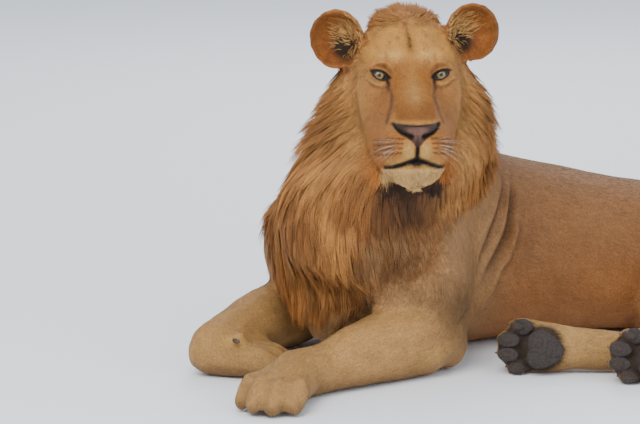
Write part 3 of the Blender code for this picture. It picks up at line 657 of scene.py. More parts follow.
# the way the hair lies on each part of the body
lieOfCoat = {
    "chest": (0.0, 0.9, -0.45),
    "chest_mane": (0.0, -0.25, -1.0),
    "neck_mane": (0.0, 0.1, -1.0),
    "abdomen": (0.45, 0.8, -0.4),
    "rump": (0.55, 0.7, -0.4),
    "upper_arm_left": (0.10, 0.25, -0.9),
    "upper_arm_right": (-0.10, 0.20, -0.9),
    "forearm_left": (-0.12, -0.95, -0.15),
    "forearm_right": (0.22, -0.93, -0.2),
    "forepaw_left": (0.37, -0.90, -0.1),
    "forepaw_right": (0.73, 0.60, -0.2),
    "thigh_left": (-0.10, -0.75, -0.55),
    "thigh_right": (-0.30, -0.85, -0.2),
    "shank_left": (0.95, -0.20, -0.2),
    "shank_right": (0.75, -0.62, -0.15),
    "hind_foot_left": (-0.70, -0.70, 0.05),
    "hind_foot_right": (-0.70, -0.70, 0.05),
    "hind_pad": (-0.70, -0.70, 0.05),
    "tail_base": (-0.1, 0.75, -0.5),
    "tail_middle": (-0.95, 0.15, -0.1),
    "tail_end": (-0.65, -0.70, -0.05),
    "tail_tuft": (-0.30, -0.90, -0.05),
    "head": (0.0, 0.1, -1.0),
    "jaw": (0.0, 0.1, -1.0),
    "nose": (0.170, 0.089, 0.064),
    "ear_": (0.0, 0.0, 1.0),
}
# points of the crown that the hair turns out from
crownWhorls = [(-26, 48, 112), (20, 44, 110)]
earMiddle = {word: toHead(np.array([nodeMiddle("ear_" + word)]))[0] for word in sideSigns}


def coatFlow():
    flow = np.zeros((len(points), 3))
    for name, index in nodeOf.items():
        key = next(k for k in sorted(lieOfCoat, key=len, reverse=True) if name.startswith(k))
        flow[owner == index] = lieOfCoat[key]
    # on the face the hair runs away from the nose, and the mane runs out from the face, back and down
    away = unit(head - [0, -118, -98])
    away[:, 1] += 0.25
    side = np.sign(head[:, 0])
    cheek = ramp(np.abs(head[:, 0]), 50, 95) * (1 - ramp(head[:, 2], 0, 50))
    backAndDown = np.column_stack([0.55 * side, np.full(len(head), 0.35), np.full(len(head), -0.75)])
    away = blend(away, backAndDown, 0.8 * cheek)
    beard = ramp(-head[:, 2], 152, 164)
    spread = np.column_stack([head[:, 0] / 260, 0 * side, 0 * side])
    away = blend(away, np.array([0, -0.1, -1.0]) + spread, beard)
    crown = ramp(head[:, 2], 76, 98) * (head[:, 1] < 90)
    whorls = np.zeros((len(head), 3))
    for middle in crownWhorls:
        apart = head - middle
        whorls += apart / (np.linalg.norm(apart, axis=1) ** 2 + 60)[:, None]
    away = blend(away, unit(whorls) + [0, -0.15, 0.25], crown)
    outward, upward = head[:, 0] / 100 * 0.8, (head[:, 2] + 20) / 100 * 0.6 - 0.5
    ring = np.column_stack([outward, np.full(len(head), 0.55), upward])
    faceFlow = unit(away) @ headAxes.T
    ringFlow = unit(ring) @ headAxes.T
    isHead = isNode(owner, "head", "jaw", "nose", "ear_")
    flow = blend(flow, faceFlow, isHead)
    nearHead = isNode(owner, "neck_mane") * (1 - ramp(-head[:, 2], 110, 230))
    flow = blend(flow, ringFlow, np.maximum(nearHead, isHead * field["mane"] * (1 - crown)))
    for word in sideSigns:
        fromEar = head - earMiddle[word]
        earFlow = unit(np.column_stack([fromEar[:, 0], 0.2 + 0 * side, fromEar[:, 2]])) @ headAxes.T
        flow = blend(flow, earFlow, isNode(owner, "ear_" + word))
    flow = smoothField(unit(flow), edges, 12)
    flow -= normals * (flow * normals).sum(1)[:, None]
    return unit(flow)


flow = coatFlow()
print("fields ready")

# one set of colours for skin and coat
colours = {
    "back": (0.211, 0.098, 0.039),
    "flank": (0.214, 0.092, 0.032),
    "belly": (0.285, 0.118, 0.038),
    "shoulder": (0.271, 0.144, 0.061),
    "foreleg": (0.361, 0.196, 0.066),
    "paw": (0.302, 0.167, 0.057),
    "hindFoot": (0.524, 0.317, 0.115),
    "grooveShade": (0.080, 0.040, 0.019),
    "forehead": (0.417, 0.198, 0.044),
    "bridge": (0.247, 0.089, 0.014),
    "cheek": (0.283, 0.118, 0.032),
    "underEye": (0.180, 0.066, 0.015),
    "pale": (0.484, 0.312, 0.112),
    "muzzle": (0.342, 0.119, 0.021),
    "muzzlePale": (0.426, 0.248, 0.069),
    "chin": (0.602, 0.369, 0.140),
    "spot": (0.110, 0.045, 0.016),
    "lip": (0.008, 0.005, 0.004),
    "rim": (0.010, 0.006, 0.005),
    "blackHairAndShade": (0.025, 0.010, 0.005),
    "nose": (0.130, 0.064, 0.046),
    "noseEdge": (0.030, 0.015, 0.011),
    "nostril": (0.006, 0.004, 0.003),
    "maneGold": (0.455, 0.199, 0.052),
    "maneMid": (0.300, 0.119, 0.030),
    "maneDark": (0.148, 0.062, 0.018),
    "maneRust": (0.272, 0.085, 0.016),
    "ruff": (0.325, 0.160, 0.045),
    "tuft": (0.030, 0.016, 0.010),
    "earBack": (0.278, 0.101, 0.020),
    "earHollowShade": (0.020, 0.011, 0.007),
    "earRim": (0.239, 0.083, 0.018),
    "earLobe": (0.235, 0.074, 0.015),
    "earDark": (0.050, 0.028, 0.016),
    "earTuft": (0.589, 0.331, 0.108),
    "pad": (0.045, 0.032, 0.026),
    "whiskerBed": (0.256, 0.103, 0.026),
    "soleFur": (0.016, 0.010, 0.007),
}
colours = {name: np.array(value) for name, value in colours.items()}

# dark parts of the mane: middle, size and strength, as drawn in the solids
maneShades = [
    ((0.02, -0.20, 0.36), (0.05, 0.05, 0.10), 0.6),
    ((0.06, -0.22, 0.30), (0.04, 0.05, 0.06), 0.5),
    # painted shade in the gap between the mane and the left arm
    ((0.09, -0.13, 0.15), (0.04, 0.05, 0.05), 0.7),
    ((0.03, -0.15, 0.09), (0.09, 0.08, 0.03), 0.8),
    ((0.195, -0.122, 0.240), (0.040, 0.045, 0.055), 1.0),
    ((0.185, -0.150, 0.285), (0.030, 0.035, 0.035), 0.7),
]

# darker and paler places of the whole coat, in the same way; some of the darker ones are painted shade
coatShades = [
    ((0.128, -0.196, 0.222), (0.050, 0.050, 0.060), 0.32),
    ((0.175, -0.167, 0.344), (0.035, 0.040, 0.040), 0.42),
    ((0.200, -0.115, 0.250), (0.035, 0.060, 0.045), 0.40),
    # painted shade low on the shoulder, between the arm and the folds
    ((0.231, -0.022, 0.150), (0.040, 0.045, 0.050), 0.45),
    ((0.076, -0.144, 0.503), (0.030, 0.040, 0.036), 0.45),
    ((0.227, 0.044, 0.518), (0.030, 0.040, 0.036), 0.50),
    # painted shade in the gap between the mane and the left arm
    ((0.101, -0.124, 0.151), (0.018, 0.030, 0.030), 0.80),
    ((0.070, -0.180, 0.434), (0.030, 0.045, 0.045), -0.42),
    ((0.250, 0.011, 0.376), (0.025, 0.030, 0.040), -0.16),
    ((0.185, -0.230, 0.372), (0.045, 0.045, 0.014), 0.35),
]

# strokes of colour on the face: colour, shade, share, path, and width at its start and end
softTints = [
    ("underEye", 1, 0.45, [(50, -34), (54, -52), (60, -74)], (12, 12)),  # cheek beside the bridge
    ("pale", 1, 0.40, [(22, 34), (34, 38), (46, 33)], (9, 9)),  # over the brow
    ("muzzlePale", 1, 0.7, [(78, -3), (69, -12.5), (57, -16.5), (50, -15.5)], (2.6, 3.4)),  # under the eye
]
creaseTints = [
    ("underEye", 1, 0.5, [(-6, 96), (-3, 74), (0, 44)], (6, 8)),
    ("spot", 1, 0.9, [(-6, 92), (-3, 74), (0, 62)], (2.0, 2.6)),
    ("spot", 0.6, 0.95, [(-1, 66), (0.5, 48)], (2.8, 3.6)),
]
eyeTints = [
    ("earLobe", 1, 0.6, [(45, 16), (43, 36)], (4, 3)),  # rusty streak over the eye's inner corner
    ("spot", 1, 0.85, [(82, 0), (76, -12), (65, -21), (53, -24), (46, -22)], (1.7, 2.3)),  # below the pouch
    ("rim", 1, 0.95, [(43, -8), (41, -16), (42, -24)], (4.4, 3.0)),  # inner corner
    ("spot", 0.8, 0.92, [(42, -24), (37, -36), (39, -52), (45, -70), (50, -84)], (3.4, 2.6)),  # tear line
    ("spot", 1.6, 0.6, [(82, 70), (86, 46), (84, 22)], (2.2, 1.6)),  # temple
]
noseTop = [(-41, -85), (-30, -88.5), (-10, -90.5), (10, -90.5), (30, -88.5), (41, -85)]
nostrilLine = [(11, -109), (17, -107), (27, -102.5), (34, -96), (40, -87)]

# rows of spots that the whiskers grow from: inner end, outer end, height
whiskerRows = [(26, 64, -112), (28, 70, -120.5), (29, 72, -129), (31, 68, -137.5)]
spotsPerRow = 8

faceFreckles = [
    (-80, 23), (-27, -7), (-14, -3), (32, -5), (85, 30), (60, 46), (-36, 58), (30, 70), (24, 44),
    (-20, 66), (44, 60), (-58, 50), (66, 22), (-10, 84), (18, 88), (-46, -46), (52, -60), (-56, -70),
]


def lay(base, name, share, shade=1.0):
    # lays one of the colours over the base, made lighter or darker by the shade
    return blend(base, colours[name] * shade, share)


def strokeMark(path, plane, width):
    far, along = distanceTo(path, plane)
    reach = width[0] + (width[1] - width[0]) * along
    return np.exp(-((far / reach) ** 2))


def layTints(base, tints, plane):
    for name, shade, share, path, width in tints:
        base = lay(base, name, share * strokeMark(path, plane, width), shade)
    return base


def bodyColour(points, local, f):
    _, y, z = local.T
    c = np.tile(colours["flank"], (len(points), 1))
    broad = cloudy(points, 0.22, 21)
    c = lay(c, "back", ramp(z + 0.02 * broad, 0.20, 0.33))
    c = lay(c, "belly", 1 - ramp(z + 0.03 * broad, 0.06, 0.20))
    c = lay(c, "shoulder", (1 - ramp(y, 0.12, 0.22)) * (1 - 0.5 * ramp(z, 0.30, 0.40)))
    # painted shade in the hollow behind the shoulder's folds
    c = lay(c, "back", 0.6 * spotOf(local, [0.19, 0.25, 0.24], [0.08, 0.045, 0.075]), 0.8)
    c = lay(c, "foreleg", f["limb"] * (1 - ramp(y, 0.05, 0.12)) * (1 - 0.4 * ramp(z, 0.10, 0.2)))
    c = lay(c, "hindFoot", f["limb"] * ramp(y, 0.05, 0.12))
    c = lay(c, "flank", f["tail"], 1.12)
    c = lay(c, "paw", 0.8 * f["feet"])
    # painted shade low on the legs, near the floor
    groundShade = (1 - ramp(z, 0.015, 0.045)) * f["limb"]
    c = lay(c, "shoulder", 0.7 * groundShade, 0.55)
    # painted shade beside the folds and in hollows of the skin, then darkest in the folds' grooves
    c = c * (1 - 0.20 * f["nearFold"])[:, None] * (1 - 0.55 * f["cavity"])[:, None]
    c = lay(c, "grooveShade", 0.48 * f["grooveShade"])
    # painted shade low on the shoulder, between the arm and the folds, then the pale hair at the elbow and
    # around the dewclaw
    c = lay(c, "shoulder", 0.92 * spotOf(local, [0.215, 0.02, 0.13], [0.06, 0.060, 0.07]), 0.45)
    dewclawAt = np.array(nodeMiddle("dewclaw_right")) - drawnShift
    pale = spotOf(local, [0.225, -0.050, 0.056], [0.022, 0.022, 0.016])
    pale = np.maximum(pale, 1.5 * spotOf(local, dewclawAt, [0.026, 0.026, 0.012]))
    return lay(c, "muzzlePale", np.clip(0.6 * pale, 0, 1))


def maneColour(points, local, head, around):
    # gold over brown, darker in streaks that hang down, darkest at the throat and at the lower end; under
    # the head and chin the near-black is partly dark hair, partly painted shadow
    x, _, z = local.T
    streak = cloudy(around, 0.028, 3) + 0.5 * cloudy(points, 0.05, 4)
    fineStreak = cloudy(around, 0.018, 12)
    low = ramp(-head[:, 2], 60, 200)
    m = blend(colours["maneMid"], colours["maneGold"], ramp(streak, -0.7, 0.8))
    m = lay(m, "ruff", 0.7 * (1 - ramp(np.abs(head[:, 2] + 30), 90, 170)) * ramp(-head[:, 1], -140, -20))
    m = lay(m, "maneMid", 0.8 * ramp(head[:, 2], 84, 108), np.array([0.92, 0.86, 0.45]))
    m = lay(m, "maneRust", 0.45 * ramp(cloudy(points, 0.13, 9), 0.0, 0.8) * low)
    m = lay(m, "maneDark", 0.62 * ramp(cloudy(around, 0.030, 8), 0.0, 0.8) * low)
    m = lay(m, "maneDark", 0.30 * ramp(cloudy(around, 0.016, 14), 0.0, 0.7) * ramp(-head[:, 2], -20, 80))
    front = spotOf(local, [0.075, -0.15, 0.20], [0.07, 0.07, 0.085])
    m = lay(m, "maneDark", 0.62 * front * (0.35 + 0.65 * ramp(cloudy(around, 0.018, 15), -0.6, 0.5)))
    onShoulder = ramp(x, 0.10, 0.17) * (1 - ramp(z, 0.30, 0.38))
    streaked = blend(colours["shoulder"] * 0.8, colours["maneDark"], 0.85 * ramp(fineStreak, -0.4, 0.6))
    m = blend(m, streaked, 0.8 * onShoulder)
    for centre, size, share in maneShades:
        near = spotOf(local, centre, size)
        m = lay(m, "maneDark", share * near * (0.35 + 0.65 * ramp(fineStreak, -0.5, 0.4)))
    # darkest under the head and chin: partly dark hair, partly painted shadow cast by the head
    m = lay(m, "maneDark", np.clip(1.3 * spotOf(head, [0, -20, -230], [98, 80, 40]), 0, 0.92), 0.8)
    return lay(m, "blackHairAndShade", np.clip(2.0 * spotOf(head, [2, -34, -211], [50, 56, 19]), 0, 1))


def cheeksAndBridge(count, plane, mirror):
    out, up = mirror.T
    k = np.tile(colours["cheek"], (count, 1))
    k = lay(k, "ruff", ramp(out, 66, 96) * (1 - 0.4 * ramp(up, 20, 70)))
    k = lay(k, "forehead", ramp(up, 8, 40) * (1 - ramp(out, 72, 92)))
    k = lay(k, "ruff", 0.7 * ramp(up, 70, 104))
    k = lay(k, "maneMid", 0.75 * ramp(up, 84, 108), np.array([0.97, 0.92, 0.50]))
    bridge = (1 - ramp(out, 26, 42)) * (1 - ramp(up, 0, 30)) * ramp(up, -100, -86)
    k = lay(k, "bridge", bridge)
    k = lay(k, "bridge", 0.6 * bridge * (1 - ramp(up, -62, -40)), 0.62)
    k = lay(k, "forehead", 0.5 * spotOf(plane, [0, 8], [15, 16]), 0.72)
    k = lay(k, "pale", 0.36 * spotOf(plane, [0, -30], [16, 24]))
    return layTints(k, softTints, mirror)


def muzzleAndChin(k, h, plane, mirror, f):
    out, up = mirror.T
    overNose = strokeMark([(-42, -82), (-20, -84), (0, -85), (20, -84), (42, -82)], plane, (3.5, 3.5))
    k = lay(k, "muzzle", ramp(-up, 94, 110) * (1 - ramp(out, 62, 84)))
    k = lay(k, "forehead", 0.75 * overNose)
    k = lay(k, "muzzlePale", np.clip(1.3 * spotOf(mirror, [15, -136], [13, 17]), 0, 1) * (h[:, 1] < -50))
    k = lay(k, "muzzlePale", 0.55 * (ramp(-up, 142, 152) * (1 - ramp(out, 44, 60))))
    rows = np.zeros(len(h))
    for start, end, height in whiskerRows:
        rows = np.maximum(rows, 0.75 * strokeMark([(start, height), (end, height - 4)], mirror, (1.9, 1.5)))
        for i in range(spotsPerRow):
            across = start + (end - start) * i / (spotsPerRow - 1)
            rows = np.maximum(rows, spotOf(mirror, [across, height - 0.6 * i + (i % 2) * 0.8], [4.0, 2.2]))
    whiskerBed = np.clip(1.3 * spotOf(mirror, [50, -122], [20, 16]), 0, 1)
    k = lay(k, "whiskerBed", 0.75 * whiskerBed * (h[:, 1] < -10))
    k = lay(k, "spot", 0.95 * rows * (h[:, 1] < -20), 0.6)
    chin = ramp(-up, 163, 169) * (1 - ramp(out, 54, 64)) * (h[:, 1] < 10) * (1 - ramp(f["mane"], 0.05, 0.35))
    k = lay(k, "chin", chin)
    k = lay(k, "chin", 0.75 * chin * spotOf(plane, [0, -182], [13, 12]), 0.62)
    # near-black band below the chin's beard: partly dark hair, partly painted shadow under the chin
    k = lay(k, "blackHairAndShade", ramp(-up + 0.22 * (h[:, 1] + 60) + 1.2 * cloudy(h, 9, 41), 198, 205))
    inFront = (h[:, 1] < -30).astype(float)
    cleft = strokeMark([(0, -120), (0, -150)], mirror, (3.4, 4.0))
    k = lay(k, "lip", np.clip(2.0 * strokeMark(mouthLine, mirror, (3.7, 3.4)), 0, 1) * inFront)
    k = lay(k, "lip", np.clip(1.5 * spotOf(plane, [0, -155], [14, 7]), 0, 1) * inFront)
    return lay(k, "lip", np.clip(1.6 * cleft, 0, 1) * inFront)


def eyeRims(k, h, plane):
    for side in (1, -1):
        near = np.hypot(h[:, 0] * side - faceShape["eyeOut"], h[:, 2]) < 30
        opening = openingOf(h, side)
        wide = blend(1.9, 3.0, ramp(eyePlane(h, side)[1], -1, 3))
        k = lay(k, "rim", (1 - ramp(opening, wide - 0.4, wide + 0.4)) * near)
        corner = strokeMark([(64 * side, 8), (70 * side, 8), (75 * side, 8)], plane, (2.6, 1.0))
        k = lay(k, "rim", np.clip(1.5 * corner, 0, 1) * near)
    return k


def noseColour(k, h, plane, mirror):
    pad = nosePad(h)
    k = lay(k, "noseEdge", pad)
    middle = np.exp(-(((plane - [0, -99]) / [21, 9]) ** 2).sum(1) ** 2) + spotOf(plane, [0, -108], [8, 12])
    k = lay(k, "nose", pad * np.clip(middle, 0, 1))
    k = lay(k, "rim", np.clip(1.1 * strokeMark(noseTop, plane, (2.0, 2.0)), 0, 1) * (h[:, 1] < -75))
    nostril = strokeMark(nostrilLine, mirror, (4.0, 3.0))
    return lay(k, "nostril", np.clip(1.7 * nostril, 0, 1) * (h[:, 1] < -70))


def faceColour(h, plane, mirror, f):
    k = cheeksAndBridge(len(h), plane, mirror)
    k = muzzleAndChin(k, h, plane, mirror, f)
    k = layTints(k, creaseTints, plane)
    k = layTints(k, eyeTints, mirror)
    for across, up in faceFreckles:
        k = lay(k, "spot", 0.7 * spotOf(plane, [across, up], 1.9))
    k = eyeRims(k, h, plane)
    return noseColour(k, h, plane, mirror)


def earColour(fromEar, sign, normals):
    # orange with a dark edge, a black hollow low inside that is painted shade, and a rusty lobe
    facing = ramp(-(normals @ headAxes)[:, 1], -0.1, 0.5)
    across, up = fromEar[:, 0] * sign, fromEar[:, 2]
    cup = np.column_stack([across, up])
    ear = blend(colours["earBack"], colours["earRim"], facing)
    ear = lay(ear, "earLobe", facing * spotOf(cup, [14, -26], [24, 20]))
    turn = np.arctan2(fromEar[:, 2], fromEar[:, 0]) * 30
    rays = np.column_stack([turn, np.zeros(len(turn)), np.hypot(fromEar[:, 0], fromEar[:, 2]) * 0.15])
    ear = ear * (1 + 0.16 * cloudy(rays, 9, 51))[:, None]
    # painted shade: the hollow low inside the ear is near black
    ear = lay(ear, "earHollowShade", np.clip(1.7 * (spotOf(cup, [-12, -14], [21, 24]) * facing), 0, 1))
    edge = ramp(np.hypot(fromEar[:, 0] / 51, fromEar[:, 2] / 55), 0.93, 1.0)
    return lay(ear, "earDark", 0.45 * edge * ramp(across + up, -30, 10))


def markings(points, head, normals, f):
    # linear colours at points of the skin or at the roots of hairs
    local = points - drawnShift
    # patterns of the mane are drawn out downwards
    x, y, z = points.T
    around = np.column_stack([x * 0.7 - y * 0.7, x * 0.2 + y * 0.2, z * 0.16])
    c = bodyColour(points, local, f)
    c = blend(c, maneColour(points, local, head, around), np.clip(f["mane"] * 1.6 - 0.1, 0, 1))
    # painted shade in the gap between the chest's mane and the left arm
    gapShade = spotOf(local, [0.111, -0.124, 0.150], [0.011, 0.018, 0.028])
    c = lay(c, "blackHairAndShade", np.clip(1.5 * gapShade, 0, 1))
    plane = faceMap(head)
    mirror = np.column_stack([np.abs(plane[:, 0]), plane[:, 1]])
    isFace = np.clip(f["face"] * 1.6, 0, 1) * (1 - ramp(f["mane"], 0.5, 1.0))
    c = blend(c, faceColour(head, plane, mirror, f), isFace)
    temple = strokeMark([(90, 74), (101, 40), (107, 0), (104, -40)], mirror, (8, 15)) * (head[:, 1] < 75)
    c = lay(c, "maneGold", 0.6 * temple, 1.25)
    beside = strokeMark([(84, 74), (90, 48), (91, 20)], mirror, (2.4, 2.0))
    c = lay(c, "spot", 0.5 * beside * (head[:, 1] < 60))
    for word, sign in sideSigns.items():
        fromEar = head - earMiddle[word]
        near = (np.linalg.norm(fromEar, axis=1) < 80) * np.clip(f["ear"] * 1.5, 0, 1)
        c = blend(c, earColour(fromEar, sign, normals), near)
    streaky = 0.72 + 0.28 * ramp(cloudy(around, 0.020, 16), -0.5, 0.5)
    for centre, size, share in coatShades:
        near = spotOf(local, centre, size) * (1 - f["ear"])
        c = c * (1 - (share * near * streaky)[:, None] * np.array([1.0, 1.06, 1.18]))
    c = lay(c, "soleFur", 0.96 * f["sole"])
    c = lay(c, "pad", np.clip(f["pad"] * 1.2, 0, 1))
    c = lay(c, "tuft", np.clip(f["tuft"] * 1.4, 0, 1))
    fine = 1 + 0.07 * cloudy(points, 0.03, 31) + 0.06 * cloudy(points, 0.010, 32)
    return np.clip(c * fine[:, None], 0.001, 1)


def paint(made, name, values):
    attribute = made.data.attributes.new(name, "FLOAT_COLOR", "POINT")
    full = np.ones((len(values), 4), np.float32)
    full[:, :3] = values
    attribute.data.foreach_set("color", full.ravel())


def mark(made, name, values):
    attribute = made.data.attributes.new(name, "FLOAT", "POINT")
    attribute.data.foreach_set("value", np.asarray(values, np.float32))


skinColour = markings(points, head, normals, field)
paint(skin, "coatColour", skinColour)
mark(skin, "bare", field["bare"])
print("markings painted")

# the skin's unwrap also places each hair on the coat's map
select(skin)
bpy.ops.object.mode_set(mode="EDIT")
bpy.ops.mesh.select_all(action="SELECT")
bpy.ops.uv.smart_project(angle_limit=math.radians(66), island_margin=0.001)
bpy.ops.object.mode_set(mode="OBJECT")
skin.data.uv_layers.active.name = "OFBake"
skinUv = readFloats(skin.data.uv_layers["OFBake"].data, "uv", 2)
print("skin unwrapped")

triVerts = trianglesOf(skin.data)
triLoops = trianglesOf(skin.data, "loops")
firstSide = points[triVerts[:, 1]] - points[triVerts[:, 0]]
secondSide = points[triVerts[:, 2]] - points[triVerts[:, 0]]
triArea = np.linalg.norm(np.cross(firstSide, secondSide), axis=1) / 2

coatLook = {
    "patch": 0.0028,
    "bodyLong": (0.010, 0.017),
    "faceLong": (0.0040, 0.0066),
    "feetLong": (0.006, 0.011),
    "maneLong": (0.044, 0.088),
    "crownLong": 0.034,
    "chinLong": 0.027,
    "tuftLong": 0.052,
    "sunk": (0.00015, 0.0012),
    "clear": (0.0003, 0.0012),
}


def lengthsAt(f, head, local, draw):
    count = len(head)
    body = draw.uniform(*coatLook["bodyLong"], count)
    face = draw.uniform(*coatLook["faceLong"], count)
    feet = draw.uniform(*coatLook["feetLong"], count)
    cheek = ramp(np.abs(head[:, 0]) - faceEdge(head[:, 2]), -34, 4)
    muzzle = spotOf(np.column_stack([np.abs(head[:, 0]), head[:, 2]]), [34, -128], [34, 26])
    face = face * (1 + 2.6 * cheek) * (1 - 0.35 * muzzle)
    length = blend(body, feet, np.clip(f["limb"] * 0.6 + f["feet"], 0, 1))
    length = blend(length, face, np.clip(f["face"] * 1.5, 0, 1))
    short, long = coatLook["maneLong"]
    mane = blend(short, long, ramp(-head[:, 2], 0, 220)) * draw.uniform(0.75, 1.25, count)
    mane = blend(mane, coatLook["crownLong"] * draw.uniform(0.7, 1.2, count), ramp(head[:, 2], 40, 95))
    mane = mane * (0.35 + 0.65 * ramp(local[:, 2] + 0.25 * np.maximum(local[:, 0], 0), 0.10, 0.22))
    mane = mane * (1 - 0.50 * ramp(local[:, 0], 0.10, 0.18) * (1 - ramp(local[:, 2], 0.33, 0.42)))
    inMane = f["mane"] > 0.02
    length = blend(length, np.maximum(mane, length), inMane * 0.08 + 0.92 * ramp(f["shag"], 0.16, 0.98))
    chin = spotOf(head, [0, -62, -196], [52, 44, 17])
    length = np.maximum(length, coatLook["chinLong"] * chin * draw.uniform(0.8, 1.2, count))
    length = blend(length, coatLook["tuftLong"] * draw.uniform(0.7, 1.3, count), np.clip(f["tuft"], 0, 1))
    elbow = spotOf(local, [0.225, -0.045, 0.058], [0.03, 0.03, 0.024])
    length = length + 0.014 * elbow
    return length * (1 - 0.75 * f["nearFold"]) * (1 - 0.45 * f["nearLips"])


def takeRoots(weights, count, seed):
    draw = np.random.default_rng(seed)
    share = (weights[triVerts].mean(1) * triArea).cumsum()
    tri = np.searchsorted(share, draw.uniform(0, share[-1], count))
    a, b = draw.uniform(size=(2, count))
    flip = a + b > 1
    a[flip], b[flip] = 1 - a[flip], 1 - b[flip]
    parts = np.column_stack([1 - a - b, a, b])
    return tri, parts, draw


def readAt(values, tri, parts):
    return (values[triVerts[tri]] * (parts[:, :, None] if values.ndim > 1 else parts)).sum(1)


def nearSkin(places):
    found = [skinTree.find_nearest(Vector(p)) for p in places]
    near = np.array([hit[0] for hit in found])
    tri = np.array([hit[2] for hit in found])
    return near, unit(normals[triVerts[tri]].mean(1)), flow[triVerts[tri]].mean(1)


def combed(roots, lie, length, stops, high, hang, hug):
    # lays each hair along the body, a little higher at each stop, and lets it hang where the body falls away
    centres = [roots]
    heading = lie
    for before, t in zip(stops, stops[1:]):
        at = centres[-1] + heading * (length * (t - before))[:, None]
        at[:, 2] -= length * hang * (t * t - before * before)
        near, out, ahead = nearSkin(at)
        above = ((at - near) * out).sum(1)
        wanted = length * high * t + coatLook["clear"][len(stops) > 2]
        height = np.where(above > wanted, blend(above, wanted, hug), wanted)
        centres.append(near + out * height[:, None])
        heading = unit(0.6 * heading + 0.4 * ahead)
    return centres


def hairMesh(name, centres, side, normal, widths, shape, tint, rootUv, ridge):
    # closed three-sided hairs through their centres, each narrowing to a point
    rings = len(centres) - 1
    count = len(centres[0])
    verts = []
    for at, share in zip(centres, shape):
        if share == 0:
            verts.append(at[:, None, :])
            continue
        w = (widths * share / 2)[:, None]
        verts.append(np.stack([at - side * w, at + side * w, at + normal * w * ridge], 1))
    verts = np.concatenate(verts, 1)
    per = verts.shape[1]
    faces = [(0, 2, 1)]
    for r in range(rings - 1):
        for k in range(3):
            a, b = r * 3 + k, r * 3 + (k + 1) % 3
            faces += [(a, b, b + 3), (a, b + 3, a + 3)]
    tip, last = per - 1, (rings - 1) * 3
    faces += [(last + k, last + (k + 1) % 3, tip) for k in range(3)]
    faces = (np.arange(count)[:, None, None] * per + np.array(faces)[None]).reshape(-1, 3)
    made = newMesh(name, verts.reshape(-1, 3), faces)
    made.data.polygons.foreach_set("use_smooth", np.zeros(len(faces), bool))
    paint(made, "coatColour", np.clip(tint, 0.001, 1).reshape(-1, 3))
    stops = np.repeat(np.linspace(0, 1, rings + 1), [3] * rings + [1])
    stepU = np.array([-0.5, 0.5, 0.0] * rings + [0.0])
    patch = np.stack([stepU, stops - 0.5], 1) * coatLook["patch"]
    uv = np.clip(rootUv[:, None, :] + patch[None], 0.0005, 0.9995).reshape(-1, 2)
    layer = made.data.uv_layers.new(name="OFBake", do_init=False)
    layer.data.foreach_set("uv", uv[faces.ravel()].astype(np.float32).ravel())
    print(name, count, "hairs", len(faces), "faces")
    return made


def leadersOf(roots, perLock):
    # the hair that each hair's lock is drawn towards
    count = max(1, len(roots) // perLock)
    tree = KDTree(count)
    for i in range(count):
        tree.insert(roots[i], i)
    tree.balance()
    return np.array([tree.find(p)[1] for p in roots])


# the crease of the forehead, which the hair leaves free
bareCrease = [(-6, 92), (-3, 74), (0, 62), (0.5, 48)]


def canGrow(roots, headAt, f):
    # not on bare skin, in the folds, under the body, along the forehead's crease or between the lids
    keep = (f["bare"] < 0.25) & (roots[:, 2] > 0.003) & (f["grooveShade"] < 0.25)
    inCrease = distanceTo(bareCrease, faceMap(headAt))[0] < 1.7
    keep &= ~(inCrease & (headAt[:, 1] < 60) & (f["mane"] < 0.5))
    for side in (1, -1):
        far = np.hypot(headAt[:, 0] * side - faceShape["eyeOut"], headAt[:, 2])
        keep &= ~((far < 24) & (headAt[:, 1] < 30) & (openingOf(headAt, side) < 3.0))
    return keep


